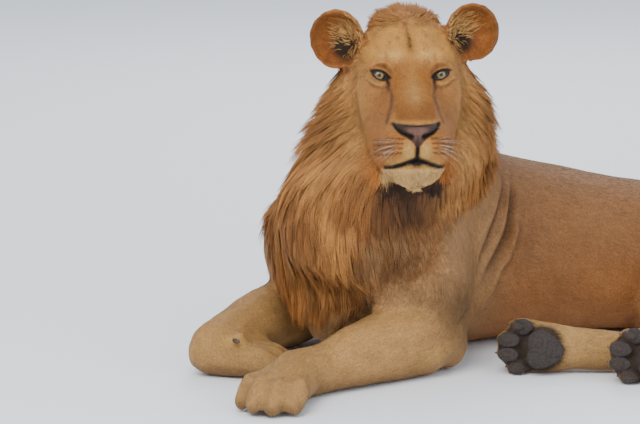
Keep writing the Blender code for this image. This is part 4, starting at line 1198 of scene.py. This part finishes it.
def growHair(name, weights, count, seed, width, lift, stray, rings, lock=0, pull=0.0, long=None,
             colour=None, way=None, ridge=0.3, hug=0.8):
    # long, colour and way replace the usual length, colour and direction of the hair
    tri, parts, draw = takeRoots(weights, count, seed)
    roots = readAt(points, tri, parts)
    normal = unit(readAt(normals, tri, parts))
    lie = readAt(flow, tri, parts)
    headAt = toHead(roots)
    f = {key: readAt(values, tri, parts) for key, values in field.items()}
    keep = canGrow(roots, headAt, f)
    tri, parts, roots, normal, lie, headAt = (v[keep] for v in (tri, parts, roots, normal, lie, headAt))
    f = {key: values[keep] for key, values in f.items()}
    count = len(roots)
    if way is not None:
        lie = way(headAt)
        lie = unit(lie - normal * (lie * normal).sum(1)[:, None])
    side = unit(np.cross(normal, lie))
    angle = draw.normal(0, stray, count)
    high = np.sin(np.radians(lift)) * draw.uniform(0.5, 1.5, count)
    length = lengthsAt(f, headAt, roots - drawnShift, draw)
    if long:
        length = draw.uniform(*long, count)
    bend = draw.normal(0, 0.12 if rings > 1 else 0.0, count)
    shade = draw.normal(1, 0.10 if rings > 1 else 0.055, count)
    shade += 0.05 * cloudy(roots, 0.020, 71)
    if lock:
        leader = leadersOf(roots, lock)
        angle, high, bend = (blend(v, v[leader], 0.75) for v in (angle, high, bend))
        length = blend(length, length[leader], 0.5)
        shade = blend(shade, 1 + (shade[leader] - 1) * 1.5, 0.6)
    crown = ramp(headAt[:, 2], 84, 112) * np.clip(f["mane"], 0, 1)
    high = high + 0.26 * crown * (rings > 1) * ramp(f["shag"], 0.25, 0.9)
    if rings > 1:
        outer = np.exp(-(((headAt[:, 2] + 30) / 60) ** 2)) * ramp(np.abs(headAt[:, 0]), 70, 110)
        high = high * (0.4 + 0.6 * ramp(f["shag"], 0.3, 0.9))
        high = high + 0.20 * outer * ramp(f["shag"], 0.4, 0.95) * (1 - crown)
    lie = unit(lie * np.cos(angle)[:, None] + side * np.sin(angle)[:, None])
    lie = unit(lie - normal * (lie * normal).sum(1)[:, None])
    side = unit(np.cross(normal, lie))
    stops = {1: (0, 1), 2: (0, 0.45, 1), 3: (0, 0.33, 0.68, 1)}[rings]
    shape = {1: (1, 0), 2: (1, 0.85, 0), 3: (0.9, 1.0, 0.7, 0)}[rings]
    if rings == 1:
        centres = combed(roots, lie, length, stops, high, 0.0, 1.0)
    else:
        hang = 0.22 * ramp(f["mane"], 0.3, 0.9) * (1 - crown)
        centres = combed(roots, lie, length, stops, high, hang, hug)
        for i, t in enumerate(stops):
            centres[i] = centres[i] + side * (length * bend * t * t)[:, None]
    if lock:
        free = [c.copy() for c in centres]
        for i, t in enumerate(stops[1:], 1):
            centres[i] = blend(free[i], free[i][leader], pull * t**1.3 * np.clip(length / 0.045, 0.25, 1))
    for at in centres:
        at[:, 2] = np.maximum(at[:, 2], 0.0012)
    centres[0] = centres[0] - normal * coatLook["sunk"][rings > 1]
    base = markings(roots, headAt, normal, f) if colour is None else np.tile(colour, (count, 1))
    own = base * shade[:, None]
    own[:, 2] *= draw.normal(1, 0.05, count)
    levels = np.repeat(np.array(stops), [3] * rings + [1])
    # painted shade: each hair is darker towards its root, where the hairs over it shade it, long hairs the
    # most
    rootShade = (0.76 + 0.34 * levels) if rings > 1 else (0.90 + 0.16 * levels)
    tint = own[:, None, :] * rootShade[None, :, None]
    rootUv = (skinUv[triLoops[tri]] * parts[:, :, None]).sum(1)
    wide = width * draw.uniform(0.75, 1.25, count) * np.clip(length / 0.014, 0.4, 2.0) ** 0.3
    return hairMesh(name, centres, side, normal, wide, shape, tint, rootUv, ridge)


# where each piece of the coat grows, from 0 to 1
maneW = ramp(field["mane"], 0.02, 0.30) * (1 - field["ear"])
tuftW = ramp(field["tuft"], 0.2, 0.6)
isFace = np.clip(field["face"] * 1.4, 0, 1)
faceW = isFace * (1 - 0.9 * ramp(field["mane"], 0.45, 0.85)) * (1 - field["ear"])
chinW = spotOf(head, [0, -62, -192], [46, 38, 15]) * (1 - 0.8 * maneW)
feetW = field["feet"] * (1 - faceW)
bodyW = np.clip(1 - 0.8 * maneW - faceW - feetW - tuftW - field["ear"], 0, 1)
local = points - drawnShift
frontOf = 1 - ramp(local[:, 1], 0.13, 0.15)
midOf = ramp(local[:, 1], 0.13, 0.15) * (1 - ramp(local[:, 1], 0.46, 0.48))
rearOf = ramp(local[:, 1], 0.46, 0.48)
sideOf = ramp(head[:, 0], -4, 4)
highOf = ramp(head[:, 2], -104, -96)
midNeck = (1 - highOf) * ramp(head[:, 2], -236, -228)
lowNeck = (1 - highOf) * (1 - ramp(head[:, 2], -236, -228))
patchOf = ramp(local[:, 0], 0.10, 0.15) * (1 - ramp(local[:, 2], 0.36, 0.42))
inCup = {}
for word, sign in sideSigns.items():
    fromEar = head - earMiddle[word]
    cup = np.column_stack([fromEar[:, 0] * sign, fromEar[:, 2]])
    facing = (-(normals @ headAxes)[:, 1] > 0.15) & (np.abs(cup[:, 0]) < 60) & (np.abs(cup[:, 1]) < 60)
    fringe = spotOf(cup, [-14, 14], [20, 15]) + 0.6 * spotOf(cup, [-34, -10], [10, 24])
    inCup[word] = field["ear"] * facing * np.clip(fringe, 0, 1)


def cupWay(headAt):
    # the fringe of the ear lies from the head's side and the top out across the hollow
    count = len(headAt)
    return np.column_stack([np.sign(headAt[:, 0]), np.full(count, -0.7), np.full(count, 0.25)]) @ headAxes.T


def chinWay(headAt):
    # the beard hangs straight down from the edge of the chin
    count = len(headAt)
    return np.column_stack([0.002 * headAt[:, 0], np.full(count, 0.12), np.full(count, -1.0)]) @ headAxes.T


# what each kind of hair is like: width in metres, lift in degrees, how far it strays, rings along it,
# hairs in a lock, how strongly a lock pulls together, how high its ridge is and how closely it hugs the body
maneHair = {"width": 0.0014, "lift": 7, "stray": 0.15, "rings": 3, "lock": 16, "pull": 0.55, "ridge": 0.4}
ruffHair = {**maneHair, "width": 0.0012, "lift": 15, "rings": 2, "lock": 14, "pull": 0.45, "hug": 0.45}
bodyHair = {"width": 0.0030, "lift": 1.6, "stray": 0.22, "rings": 1, "ridge": 0.10}
faceHair = {"width": 0.0013, "lift": 2.5, "stray": 0.16, "rings": 1, "ridge": 0.12}
fringeHair = {"width": 0.0009, "lift": 6, "stray": 0.28, "rings": 2, "lock": 10, "pull": 0.35, "ridge": 0.35}
beardHair = {"width": 0.0009, "lift": 17, "stray": 0.22, "rings": 2, "lock": 7, "pull": 0.35, "hug": 0.06}
earHair = {"width": 0.0012, "lift": 2, "stray": 0.25, "rings": 1, "long": (0.004, 0.007), "ridge": 0.12}
cupHair = {"width": 0.0008, "lift": 18, "stray": 0.45, "rings": 2, "lock": 5, "pull": 0.3, "hug": 0.3}
cupHair.update(long=(0.010, 0.024), colour=colours["earTuft"], way=cupWay)
coatPieces = [
    growHair("mane_head_left", maneW * highOf * sideOf, 15500, 101, **ruffHair),
    growHair("mane_head_right", maneW * highOf * (1 - sideOf), 15500, 102, **ruffHair),
    growHair("mane_neck_left", maneW * midNeck * sideOf, 9000, 103, **maneHair),
    growHair("mane_neck_right", maneW * midNeck * (1 - sideOf), 9000, 104, **maneHair),
    growHair("mane_chest_left", maneW * lowNeck * sideOf * (1 - 0.9 * patchOf), 8000, 105, **maneHair),
    growHair("mane_chest_right", maneW * lowNeck * (1 - sideOf), 8000, 106, **maneHair),
    growHair("mane_shoulder", maneW * lowNeck * sideOf * patchOf, 6500, 107, **fringeHair),
    growHair("coat_front", bodyW * frontOf, 24000, 111, **bodyHair),
    growHair("coat_middle", bodyW * midOf, 17000, 112, **bodyHair),
    growHair("coat_rear", bodyW * rearOf, 21000, 113, **bodyHair),
    growHair("coat_face", faceW, 44000, 121, **faceHair),
    growHair("coat_feet", feetW, 15000, 122, **{**faceHair, "width": 0.0019, "stray": 0.25}),
    growHair("chin_beard", chinW, 6000, 123, way=chinWay, **beardHair),
    growHair("tail_tuft_hair", tuftW, 2200, 131, **{**maneHair, "lift": 14, "lock": 9}),
    growHair("ear_fur", field["ear"], 7500, 141, **earHair),
    growHair("ear_fringe", inCup["left"] + inCup["right"], 1100, 142, **cupHair),
]
print("coat grown")


def nodesFor(name):
    material = bpy.data.materials.new(name)
    material.use_nodes = True
    tree = material.node_tree
    return material, tree, tree.nodes["Principled BSDF"]


def setInputs(node, values):
    for key, value in values.items():
        node.inputs[key].default_value = value


def addNode(tree, kind, inputs=None, **values):
    node = tree.nodes.new(kind)
    for key, value in values.items():
        setattr(node, key, value)
    setInputs(node, inputs or {})
    return node


def wire(tree, source, output, target, socket):
    tree.links.new(source.outputs[output], target.inputs[socket])


def grainGroup():
    # breaks up a colour and gives a height, both from where the point is on the body
    group = bpy.data.node_groups.new("hairGrain", "ShaderNodeTree")
    group.interface.new_socket("Colour", in_out="INPUT", socket_type="NodeSocketColor")
    for name, value in (("Scale", 260.0), ("Strength", 0.25)):
        socket = group.interface.new_socket(name, in_out="INPUT", socket_type="NodeSocketFloat")
        socket.default_value = value
    group.interface.new_socket("Colour", in_out="OUTPUT", socket_type="NodeSocketColor")
    group.interface.new_socket("Height", in_out="OUTPUT", socket_type="NodeSocketFloat")
    start = addNode(group, "NodeGroupInput")
    end = addNode(group, "NodeGroupOutput")
    place = addNode(group, "ShaderNodeTexCoord")
    noise = addNode(group, "ShaderNodeTexNoise", {"Detail": 4, "Roughness": 0.65})
    spread = addNode(group, "ShaderNodeMapRange", {"From Min": 0.3, "From Max": 0.7})
    less = addNode(group, "ShaderNodeMath", {0: 1.0}, operation="SUBTRACT")
    more = addNode(group, "ShaderNodeMath", {0: 1.0}, operation="ADD")
    mix = addNode(group, "ShaderNodeMix", {"Factor": 1.0}, data_type="RGBA", blend_type="MULTIPLY")
    combine = addNode(group, "ShaderNodeCombineColor")
    wire(group, place, "Object", noise, "Vector")
    wire(group, start, "Scale", noise, "Scale")
    wire(group, noise, "Fac", spread, "Value")
    wire(group, start, "Strength", less, 1)
    wire(group, start, "Strength", more, 1)
    wire(group, less, 0, spread, "To Min")
    wire(group, more, 0, spread, "To Max")
    for part in ("Red", "Green", "Blue"):
        wire(group, spread, "Result", combine, part)
    wire(group, start, "Colour", mix, "A")
    wire(group, combine, "Color", mix, "B")
    wire(group, mix, "Result", end, "Colour")
    wire(group, noise, "Fac", end, "Height")
    return group


hairGrain = grainGroup()

coatShader = {
    "Roughness": 0.62,
    "Specular IOR Level": 0.2,
    "Sheen Weight": 0.04,
    "Sheen Roughness": 0.5,
    "Sheen Tint": (1.0, 0.85, 0.65, 1),
}


def coatMaterial(name, scale, strength):
    material, tree, shader = nodesFor(name)
    colour = addNode(tree, "ShaderNodeAttribute", attribute_name="coatColour")
    grain = addNode(tree, "ShaderNodeGroup", node_tree=hairGrain)
    setInputs(grain, {"Scale": scale, "Strength": strength})
    wire(tree, colour, "Color", grain, "Colour")
    wire(tree, grain, "Colour", shader, "Base Color")
    setInputs(shader, coatShader)
    return material, tree, shader, grain


def furredSkin():
    # short fur between the hairs, and fine glossy cells where the skin is bare
    material, tree, shader, grain = coatMaterial("furredSkin", 300.0, 0.30)
    height = addNode(tree, "ShaderNodeBump", {"Strength": 0.6, "Distance": 0.0022})
    bare = addNode(tree, "ShaderNodeAttribute", attribute_name="bare")
    place = addNode(tree, "ShaderNodeTexCoord")
    cells = addNode(tree, "ShaderNodeTexVoronoi", {"Scale": 620.0})
    pick = addNode(tree, "ShaderNodeMix", data_type="FLOAT")
    gloss = addNode(tree, "ShaderNodeMapRange", {"To Min": 0.7, "To Max": 0.38})
    wire(tree, place, "Object", cells, "Vector")
    wire(tree, bare, "Fac", pick, "Factor")
    wire(tree, grain, "Height", pick, "A")
    wire(tree, cells, "Distance", pick, "B")
    wire(tree, pick, "Result", height, "Height")
    wire(tree, height, "Normal", shader, "Normal")
    wire(tree, bare, "Fac", gloss, "Value")
    wire(tree, gloss, "Result", shader, "Roughness")
    return material


skin.data.materials.append(furredSkin())
hairMaterial = coatMaterial("coatHair", 380.0, 0.26)[0]
for piece in coatPieces:
    piece.data.materials.append(hairMaterial)

eyeLook = {
    "radius": 17.5,
    "corneaRise": 1.6,
    "turnIn": -3.5,
    "streaks": 34.0,
    "shader": {"Roughness": 0.30, "Specular IOR Level": 0.2, "Coat Weight": 0.55, "Coat Roughness": 0.02},
    # how far out of the pupil's middle each colour lies
    "rings": [
        (0.0, (0.004, 0.003, 0.003)),
        (0.062, (0.004, 0.003, 0.003)),
        (0.078, (0.10, 0.066, 0.014)),
        (0.13, (0.20, 0.135, 0.030)),
        (0.180, (0.15, 0.100, 0.026)),
        (0.205, (0.05, 0.032, 0.012)),
        (0.228, (0.014, 0.009, 0.006)),
        (0.34, (0.10, 0.06, 0.045)),
    ],
}


def eyeMaterial():
    material, tree, shader = nodesFor("wetEye")
    uv = addNode(tree, "ShaderNodeUVMap", uv_map="eyeMap")
    centre = addNode(tree, "ShaderNodeVectorMath", {1: (0.5, 0.5, 0)}, operation="SUBTRACT")
    far = addNode(tree, "ShaderNodeVectorMath", operation="LENGTH")
    double = addNode(tree, "ShaderNodeMath", {1: 2.0}, operation="MULTIPLY")
    ring = addNode(tree, "ShaderNodeValToRGB")
    rings = ring.color_ramp.elements
    while len(rings) < len(eyeLook["rings"]):
        rings.new(0.5)
    for element, (at, colour) in zip(rings, eyeLook["rings"]):
        element.position = at * 2
        element.color = (*colour, 1)
    # fine streaks of the iris, which run out from the pupil
    turn = addNode(tree, "ShaderNodeVectorMath", operation="NORMALIZE")
    bit = addNode(tree, "ShaderNodeVectorMath", {"Scale": 0.5}, operation="SCALE")
    waves = {"Scale": eyeLook["streaks"], "Detail": 5.0, "Roughness": 0.7}
    streak = addNode(tree, "ShaderNodeTexNoise", waves)
    limits = {"From Min": 0.3, "From Max": 0.7, "To Min": 0.65, "To Max": 1.3}
    spread = addNode(tree, "ShaderNodeMapRange", limits)
    combine = addNode(tree, "ShaderNodeCombineColor")
    mix = addNode(tree, "ShaderNodeMix", {"Factor": 0.8}, data_type="RGBA", blend_type="MULTIPLY")
    wire(tree, uv, "UV", centre, 0)
    wire(tree, centre, "Vector", far, 0)
    wire(tree, far, "Value", double, 0)
    wire(tree, double, 0, ring, "Fac")
    wire(tree, centre, "Vector", turn, 0)
    wire(tree, turn, "Vector", bit, 0)
    wire(tree, bit, "Vector", streak, "Vector")
    wire(tree, streak, "Fac", spread, "Value")
    for part in ("Red", "Green", "Blue"):
        wire(tree, spread, "Result", combine, part)
    wire(tree, ring, "Color", mix, "A")
    wire(tree, combine, "Color", mix, "B")
    wire(tree, mix, "Result", shader, "Base Color")
    setInputs(shader, eyeLook["shader"])
    return material


def makeEye(name, side):
    bpy.ops.object.select_all(action="DESELECT")
    bpy.ops.mesh.primitive_uv_sphere_add(segments=48, ring_count=32, radius=eyeLook["radius"] / 1000)
    eye = bpy.context.active_object
    eye.name = name
    # the ball's pole looks along the view of the face, so the rings make the iris
    ball = pointsOf(eye) * 1000
    spin = np.column_stack([ball[:, 0], -ball[:, 2], ball[:, 1]])
    r = np.hypot(spin[:, 0], spin[:, 2])
    bulge = (1 - ramp(r, 7.0, 12.5)) * (spin[:, 1] < 0)
    spin[:, 1] -= eyeLook["corneaRise"] * bulge
    # the eyes look straight ahead of the face, a little across to where the head has not turned
    cos, sin = math.cos(math.radians(eyeLook["turnIn"])), math.sin(math.radians(eyeLook["turnIn"]))
    across, back = spin[:, 0] * cos - spin[:, 1] * sin, spin[:, 0] * sin + spin[:, 1] * cos
    turned = np.column_stack([across, back, spin[:, 2]])
    centre = np.array([faceShape["eyeOut"] * side, faceShape["eyeDepth"], 0])
    setPoints(eye, fromHead(turned + centre))
    layer = eye.data.uv_layers.active
    layer.name = "eyeMap"
    corner = readInts(eye.data.loops, "vertex_index", 1).ravel()
    uv = np.column_stack([spin[:, 0], spin[:, 2]]) / 40 + 0.5
    layer.data.foreach_set("uv", uv[corner].astype(np.float32).ravel())
    pointOutwards(eye)
    eye.data.materials.append(wetEye)
    return eye


wetEye = eyeMaterial()
eyes = {"left": makeEye("eyeball_left", 1), "right": makeEye("eyeball_right", -1)}
for word, eye in eyes.items():
    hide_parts("eye_" + word)
print("eyes made")


def tubes(name, paths, radii, sides):
    # one mesh of round tubes along the paths, each closed in a ring or with capped ends
    verts, faces = [], []
    for path, radius in zip(paths, radii):
        path = np.asarray(path, float)
        closed = np.linalg.norm(path[0] - path[-1]) < 1e-9
        if closed:
            path = path[:-1]
        count = len(path)
        ahead = np.roll(path, -1, 0) - np.roll(path, 1, 0)
        if not closed:
            ahead[0], ahead[-1] = path[1] - path[0], path[-1] - path[-2]
        ahead = unit(ahead)
        guide = np.cross(ahead, headAxes[:, 1])
        guide = unit(guide + 1e-6)
        other = unit(np.cross(ahead, guide))
        start = len(verts)
        for i in range(count):
            for k in range(sides):
                angle = 2 * math.pi * k / sides
                verts.append(path[i] + radius[i] * (guide[i] * math.cos(angle) + other[i] * math.sin(angle)))
        last = count if closed else count - 1
        for i in range(last):
            j = (i + 1) % count
            for k in range(sides):
                n = (k + 1) % sides
                a, b = start + i * sides + k, start + i * sides + n
                c, d = start + j * sides + n, start + j * sides + k
                faces += [(a, b, c), (a, c, d)]
        if not closed:
            for k in range(1, sides - 1):
                faces.append((start, start + k + 1, start + k))
                top = start + (count - 1) * sides
                faces.append((top, top + k, top + k + 1))
    made = newMesh(name, np.array(verts), np.array(faces))
    pointOutwards(made)
    return made


def plainMaterial(name, colour, roughness, scale, strength, bump, coat=0.0):
    material, tree, shader = nodesFor(name)
    grain = addNode(tree, "ShaderNodeGroup", node_tree=hairGrain)
    setInputs(grain, {"Colour": (*colour, 1), "Scale": scale, "Strength": strength})
    height = addNode(tree, "ShaderNodeBump", {"Strength": 0.7, "Distance": bump})
    wire(tree, grain, "Colour", shader, "Base Color")
    wire(tree, grain, "Height", height, "Height")
    wire(tree, height, "Normal", shader, "Normal")
    setInputs(shader, {"Roughness": roughness, "Coat Weight": coat, "Coat Roughness": 0.1})
    return material


lidSteps = 48


def lidPath(side):
    # along the almond between the lids, on a ball a little larger than the eye
    path = []
    tilt = math.radians(faceShape["openTilt"])
    for i in range(lidSteps + 1):
        t = 2 * math.pi * i / lidSteps
        along = faceShape["openWide"] * 1.02 * math.copysign(abs(math.cos(t)) ** (2 / 1.7), math.cos(t))
        across = faceShape["openHigh"] * 1.04 * math.sin(t) * (1 if math.sin(t) > 0 else 0.95)
        u = along * math.cos(tilt) - across * math.sin(tilt) + faceShape["openOut"]
        w = along * math.sin(tilt) + across * math.cos(tilt) + faceShape["openUp"]
        y = faceShape["eyeDepth"] - math.sqrt((faceShape["eyeRadius"] + 0.9) ** 2 - u * u - w * w)
        path.append(((faceShape["eyeOut"] + u) * side, y, w))
    path[-1] = path[0]
    return fromHead(np.array(path))


lidMargins = tubes("lid_margins", [lidPath(1), lidPath(-1)], [[0.0015] * lidSteps] * 2, 8)
blackLid = plainMaterial("blackLid", (0.010, 0.006, 0.005), 0.5, 900.0, 0.2, 0.0003, 0.1)
lidMargins.data.materials.append(blackLid)

whiskerLook = {"rows": 4, "perRow": 4, "long": 0.048, "thick": 0.00016, "steps": 8}


def whiskerPaths():
    draw = np.random.default_rng(77)
    bend = headAxes @ np.array([0, 0.35, 0])
    sag = np.array([0, 0, -1.0])
    paths, radii = [], []
    for side in (1, -1):
        for row in range(whiskerLook["rows"]):
            for i in range(whiskerLook["perRow"]):
                across = 38 + 7.0 * i + draw.normal(0, 1.5)
                up = -118 - 8.5 * row + draw.normal(0, 1)
                start = fromHead(np.array([[across * side, -120, up]]))[0]
                root = np.array(skinTree.find_nearest(Vector(start))[0])
                rise = 0.12 - 0.22 * row + draw.normal(0, 0.08)
                way = headAxes @ unit(np.array([side * (0.75 + 0.10 * i), -0.42 + 0.13 * i, rise]))
                length = whiskerLook["long"] * draw.uniform(0.65, 1.1)
                path, radius = [], []
                for k in range(whiskerLook["steps"] + 1):
                    s = k / whiskerLook["steps"]
                    curl = (sag * 0.16 + bend * 0.5) * length * s * s
                    path.append(root - way * 0.002 + way * length * s + curl)
                    radius.append(whiskerLook["thick"] * (1 - 0.85 * s))
                paths.append(path)
                radii.append(radius)
    return paths, radii


whiskers = tubes("whiskers", *whiskerPaths(), 5)
whiskers.data.materials.append(plainMaterial("whiskerHair", (0.56, 0.48, 0.37), 0.45, 500.0, 0.1, 0.0001))
print("lids and whiskers made")


def finerNode(name, node, levels, swell):
    # a smoother copy of a small solid
    made = newMesh(name, *joinNodes([node])[:2])
    select(made)
    bpy.ops.object.mode_set(mode="EDIT")
    bpy.ops.mesh.select_all(action="SELECT")
    bpy.ops.mesh.remove_doubles(threshold=0.00002)
    bpy.ops.mesh.tris_convert_to_quads()
    bpy.ops.object.mode_set(mode="OBJECT")
    addModifier(made, "SUBSURF", levels=levels, render_levels=levels)
    co = pointsOf(made)
    middle = co.mean(0)
    setPoints(made, middle + (co - middle) * swell)
    bpy.ops.object.shade_smooth()
    return made


# for each pad: how far it lies back and aside from its solid's middle, and half its length and width
padPlaces = {
    "1": (0.006, 0.000, 0.019, 0.0145),
    "2": (0.001, 0.000, 0.0205, 0.0130),
    "3": (0.001, 0.000, 0.0195, 0.0125),
    "4": (0.000, 0.000, 0.0155, 0.0110),
    "main": (0.003, 0.001, 0.0350, 0.0340),
}
padLook = {
    "around": 56,
    "rows": 14,
    "dome": 0.23,
    "brow": 0.72,
    "deep": 0.45,
    "sunk": 0.0040,
    "crease": 0.0007,
}
clawLook = {"swell": 1.12, "back": 0.0095, "dewSwell": 1.15}


def makePad(name, middle, front, out, size, lobed):
    # a cushion over an outline in the plane of the sole; the main one has three lobes
    across = unit(np.cross(out, front))
    around, rows = padLook["around"], padLook["rows"]
    dome, brow = padLook["dome"], padLook["brow"]
    long, wide = size
    turn = np.arange(around) * 2 * math.pi / around
    edge = 1 - 0.07 * np.cos(turn)
    if lobed:
        notch = np.exp(-((np.minimum(turn, 2 * math.pi - turn)) / 0.35) ** 2)
        edge = 1 + 0.10 * np.cos(3 * (turn - math.pi)) - 0.10 * notch
    verts, faces = [middle + out * wide * dome], []
    for k in range(1, rows + 1):
        t = k / rows
        grow = math.sin(t * 2.2) ** 0.8 if t < brow else 1.0 - 0.5 * (t - brow)
        high = math.cos(min(t / brow, 1) * math.pi / 2) ** 0.7 * dome - max(t - brow, 0) * 1.6
        for j in range(around):
            r = grow * edge[j]
            ahead, aside = math.cos(turn[j]) * r * long, math.sin(turn[j]) * r * wide
            verts.append(middle + front * ahead + across * aside + out * high * wide)
    verts.append(middle - out * wide * padLook["deep"])
    for j in range(around):
        n = (j + 1) % around
        faces.append((0, 1 + j, 1 + n))
        for k in range(rows - 1):
            a, b = 1 + k * around, 1 + (k + 1) * around
            faces += [(a + j, b + j, b + n), (a + j, b + n, a + n)]
        faces.append((1 + (rows - 1) * around + j, len(verts) - 1, 1 + (rows - 1) * around + n))
    made = newMesh(name, np.array(verts), np.array(faces))
    pointOutwards(made)
    if lobed:
        # two grooves run back between the lobes
        co = pointsOf(made)
        a, b, c = ((co - middle) @ axis for axis in (front, across, out))
        behind = ramp(-a, -0.1 * long, 0.8 * long)
        groove = np.exp(-(((np.abs(b) - 0.40 * wide) / (0.09 * wide)) ** 2)) * behind * (c > 0)
        setPoints(made, co - out * (0.0030 * groove)[:, None])
    return made


def creasePad(made, amount):
    # the fine wrinkles and unevenness of worn leather
    co = pointsOf(made)
    lines = np.abs(cloudy(co, 0.010, 61)) ** 0.5
    rise = amount * (lines - 0.6) + 0.0006 * cloudy(co, 0.02, 62)
    setPoints(made, co + normalsOf(made) * rise[:, None])


padMaterial = plainMaterial("padLeather", (0.027, 0.019, 0.017), 0.8, 220.0, 0.6, 0.0022)
clawMaterial = plainMaterial("clawHorn", (0.055, 0.028, 0.014), 0.3, 260.0, 0.35, 0.0003, coat=0.4)
extras = []
for word in sideSigns:
    toes = np.mean([nodeMiddle(f"hind_pad_{word}_{i}") for i in "1234"], axis=0)
    main = np.array(nodeMiddle(f"hind_pad_{word}_main"))
    front = unit(toes - main)
    skinOut = nearSkin([Vector(main)])[1]
    out = unit(skinOut[0] - front * (skinOut[0] @ front))
    across = unit(np.cross(out, front))
    for which, (ahead, aside, long, wide) in padPlaces.items():
        at = np.array(nodeMiddle(f"hind_pad_{word}_{which}")) - front * ahead + across * aside
        at = at + out * ((nearSkin([Vector(at)])[0][0] - at) @ out - padLook["sunk"])
        pad = makePad(f"foot_pad_{word}_{which}", at, front, out, (long, wide), which == "main")
        creasePad(pad, padLook["crease"])
        pad.data.materials.append(padMaterial)
        extras.append(pad)
    for which in "1234":
        node = f"hind_claw_{word}_{which}"
        claw = finerNode(f"claw_{word}_{which}", node, 2, clawLook["swell"])
        setPoints(claw, pointsOf(claw) - front * clawLook["back"])
        claw.data.materials.append(clawMaterial)
        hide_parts(node)
        extras.append(claw)
dewclaw = finerNode("dewclaw_horn", "dewclaw_right", 2, clawLook["dewSwell"])
dewclaw.data.materials.append(clawMaterial)
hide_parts("dewclaw_right")
extras.append(dewclaw)

for piece in [skin, lidMargins, whiskers, *eyes.values(), *extras, *coatPieces]:
    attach(piece, "root")
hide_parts(*fleshNodes)
print("pads and claws made")

# the camera's place around the lion, and where it aims, in metres from the point between the pupils
studio = {
    "azimuth": 45.0,
    "elevation": 11.0,
    "distance": 6.0,
    "frameWide": 1.152,
    "aimAcross": -0.1638,
    "aimAbove": -0.2466,
    "sensor": 36,
    "sky": (0.86, 0.90, 0.97),
    "skyStrength": 0.98,
    "floor": (0.90, 0.94, 1.0),
}
# place, target, size, power and colour
lamps = {
    "keyLight": ((1.2, -3.4, 3.6), (0, 0, 0.3), 2.6, 190, (1.0, 0.96, 0.90)),
    "fillLight": ((4.2, -0.6, 1.8), (0, 0, 0.3), 3.0, 60, (0.94, 0.97, 1.0)),
    "lowLight": ((3.0, -3.2, 0.5), (0.1, -0.1, 0.35), 2.0, 16, (1.0, 0.93, 0.84)),
    "backLight": ((-2.5, 2.5, 3.2), (0, 0, 0.3), 2.5, 90, (1.0, 0.98, 0.95)),
}

bpy.ops.object.select_all(action="DESELECT")
bpy.ops.mesh.primitive_plane_add(size=60, location=(0, 0, 0))
floor = bpy.context.active_object
floor.name = "floor"
floorMaterial, _, floorShader = nodesFor("paleFloor")
setInputs(floorShader, {"Base Color": (*studio["floor"], 1), "Roughness": 0.9})
floor.data.materials.append(floorMaterial)

world = bpy.data.worlds.new("studioSky")
world.use_nodes = True
background = world.node_tree.nodes["Background"]
setInputs(background, {"Color": (*studio["sky"], 1), "Strength": studio["skyStrength"]})
bpy.context.scene.world = world

for name, (place, target, size, power, colour) in lamps.items():
    data = bpy.data.lights.new(name, "AREA")
    data.size = size
    data.energy = power
    data.color = colour
    lamp = bpy.data.objects.new(name, data)
    lamp.location = place
    lamp.rotation_euler = (Vector(target) - Vector(place)).to_track_quat("-Z", "Y").to_euler()
    bpy.context.scene.collection.objects.link(lamp)

azimuth, elevation = math.radians(studio["azimuth"]), math.radians(studio["elevation"])
level = math.cos(elevation)
back = Vector((math.sin(azimuth) * level, -math.cos(azimuth) * level, math.sin(elevation)))
right = Vector((math.cos(azimuth), math.sin(azimuth), 0))
up = right.cross(-back)
aim = headOrigin + right * studio["aimAcross"] + up * studio["aimAbove"]
cameraData = bpy.data.cameras.new("camera")
cameraData.sensor_width = studio["sensor"]
cameraData.lens = studio["sensor"] * studio["distance"] / studio["frameWide"]
camera = bpy.data.objects.new("camera", cameraData)
camera.location = aim + back * studio["distance"]
camera.rotation_euler = (-back).to_track_quat("-Z", "Y").to_euler()
bpy.context.scene.collection.objects.link(camera)
bpy.context.scene.camera = camera
print("studio set")

total = sum(len(o.data.polygons) for o in bpy.data.objects if o.type == "MESH" and not o.hide_render)
print("all polygons", total)
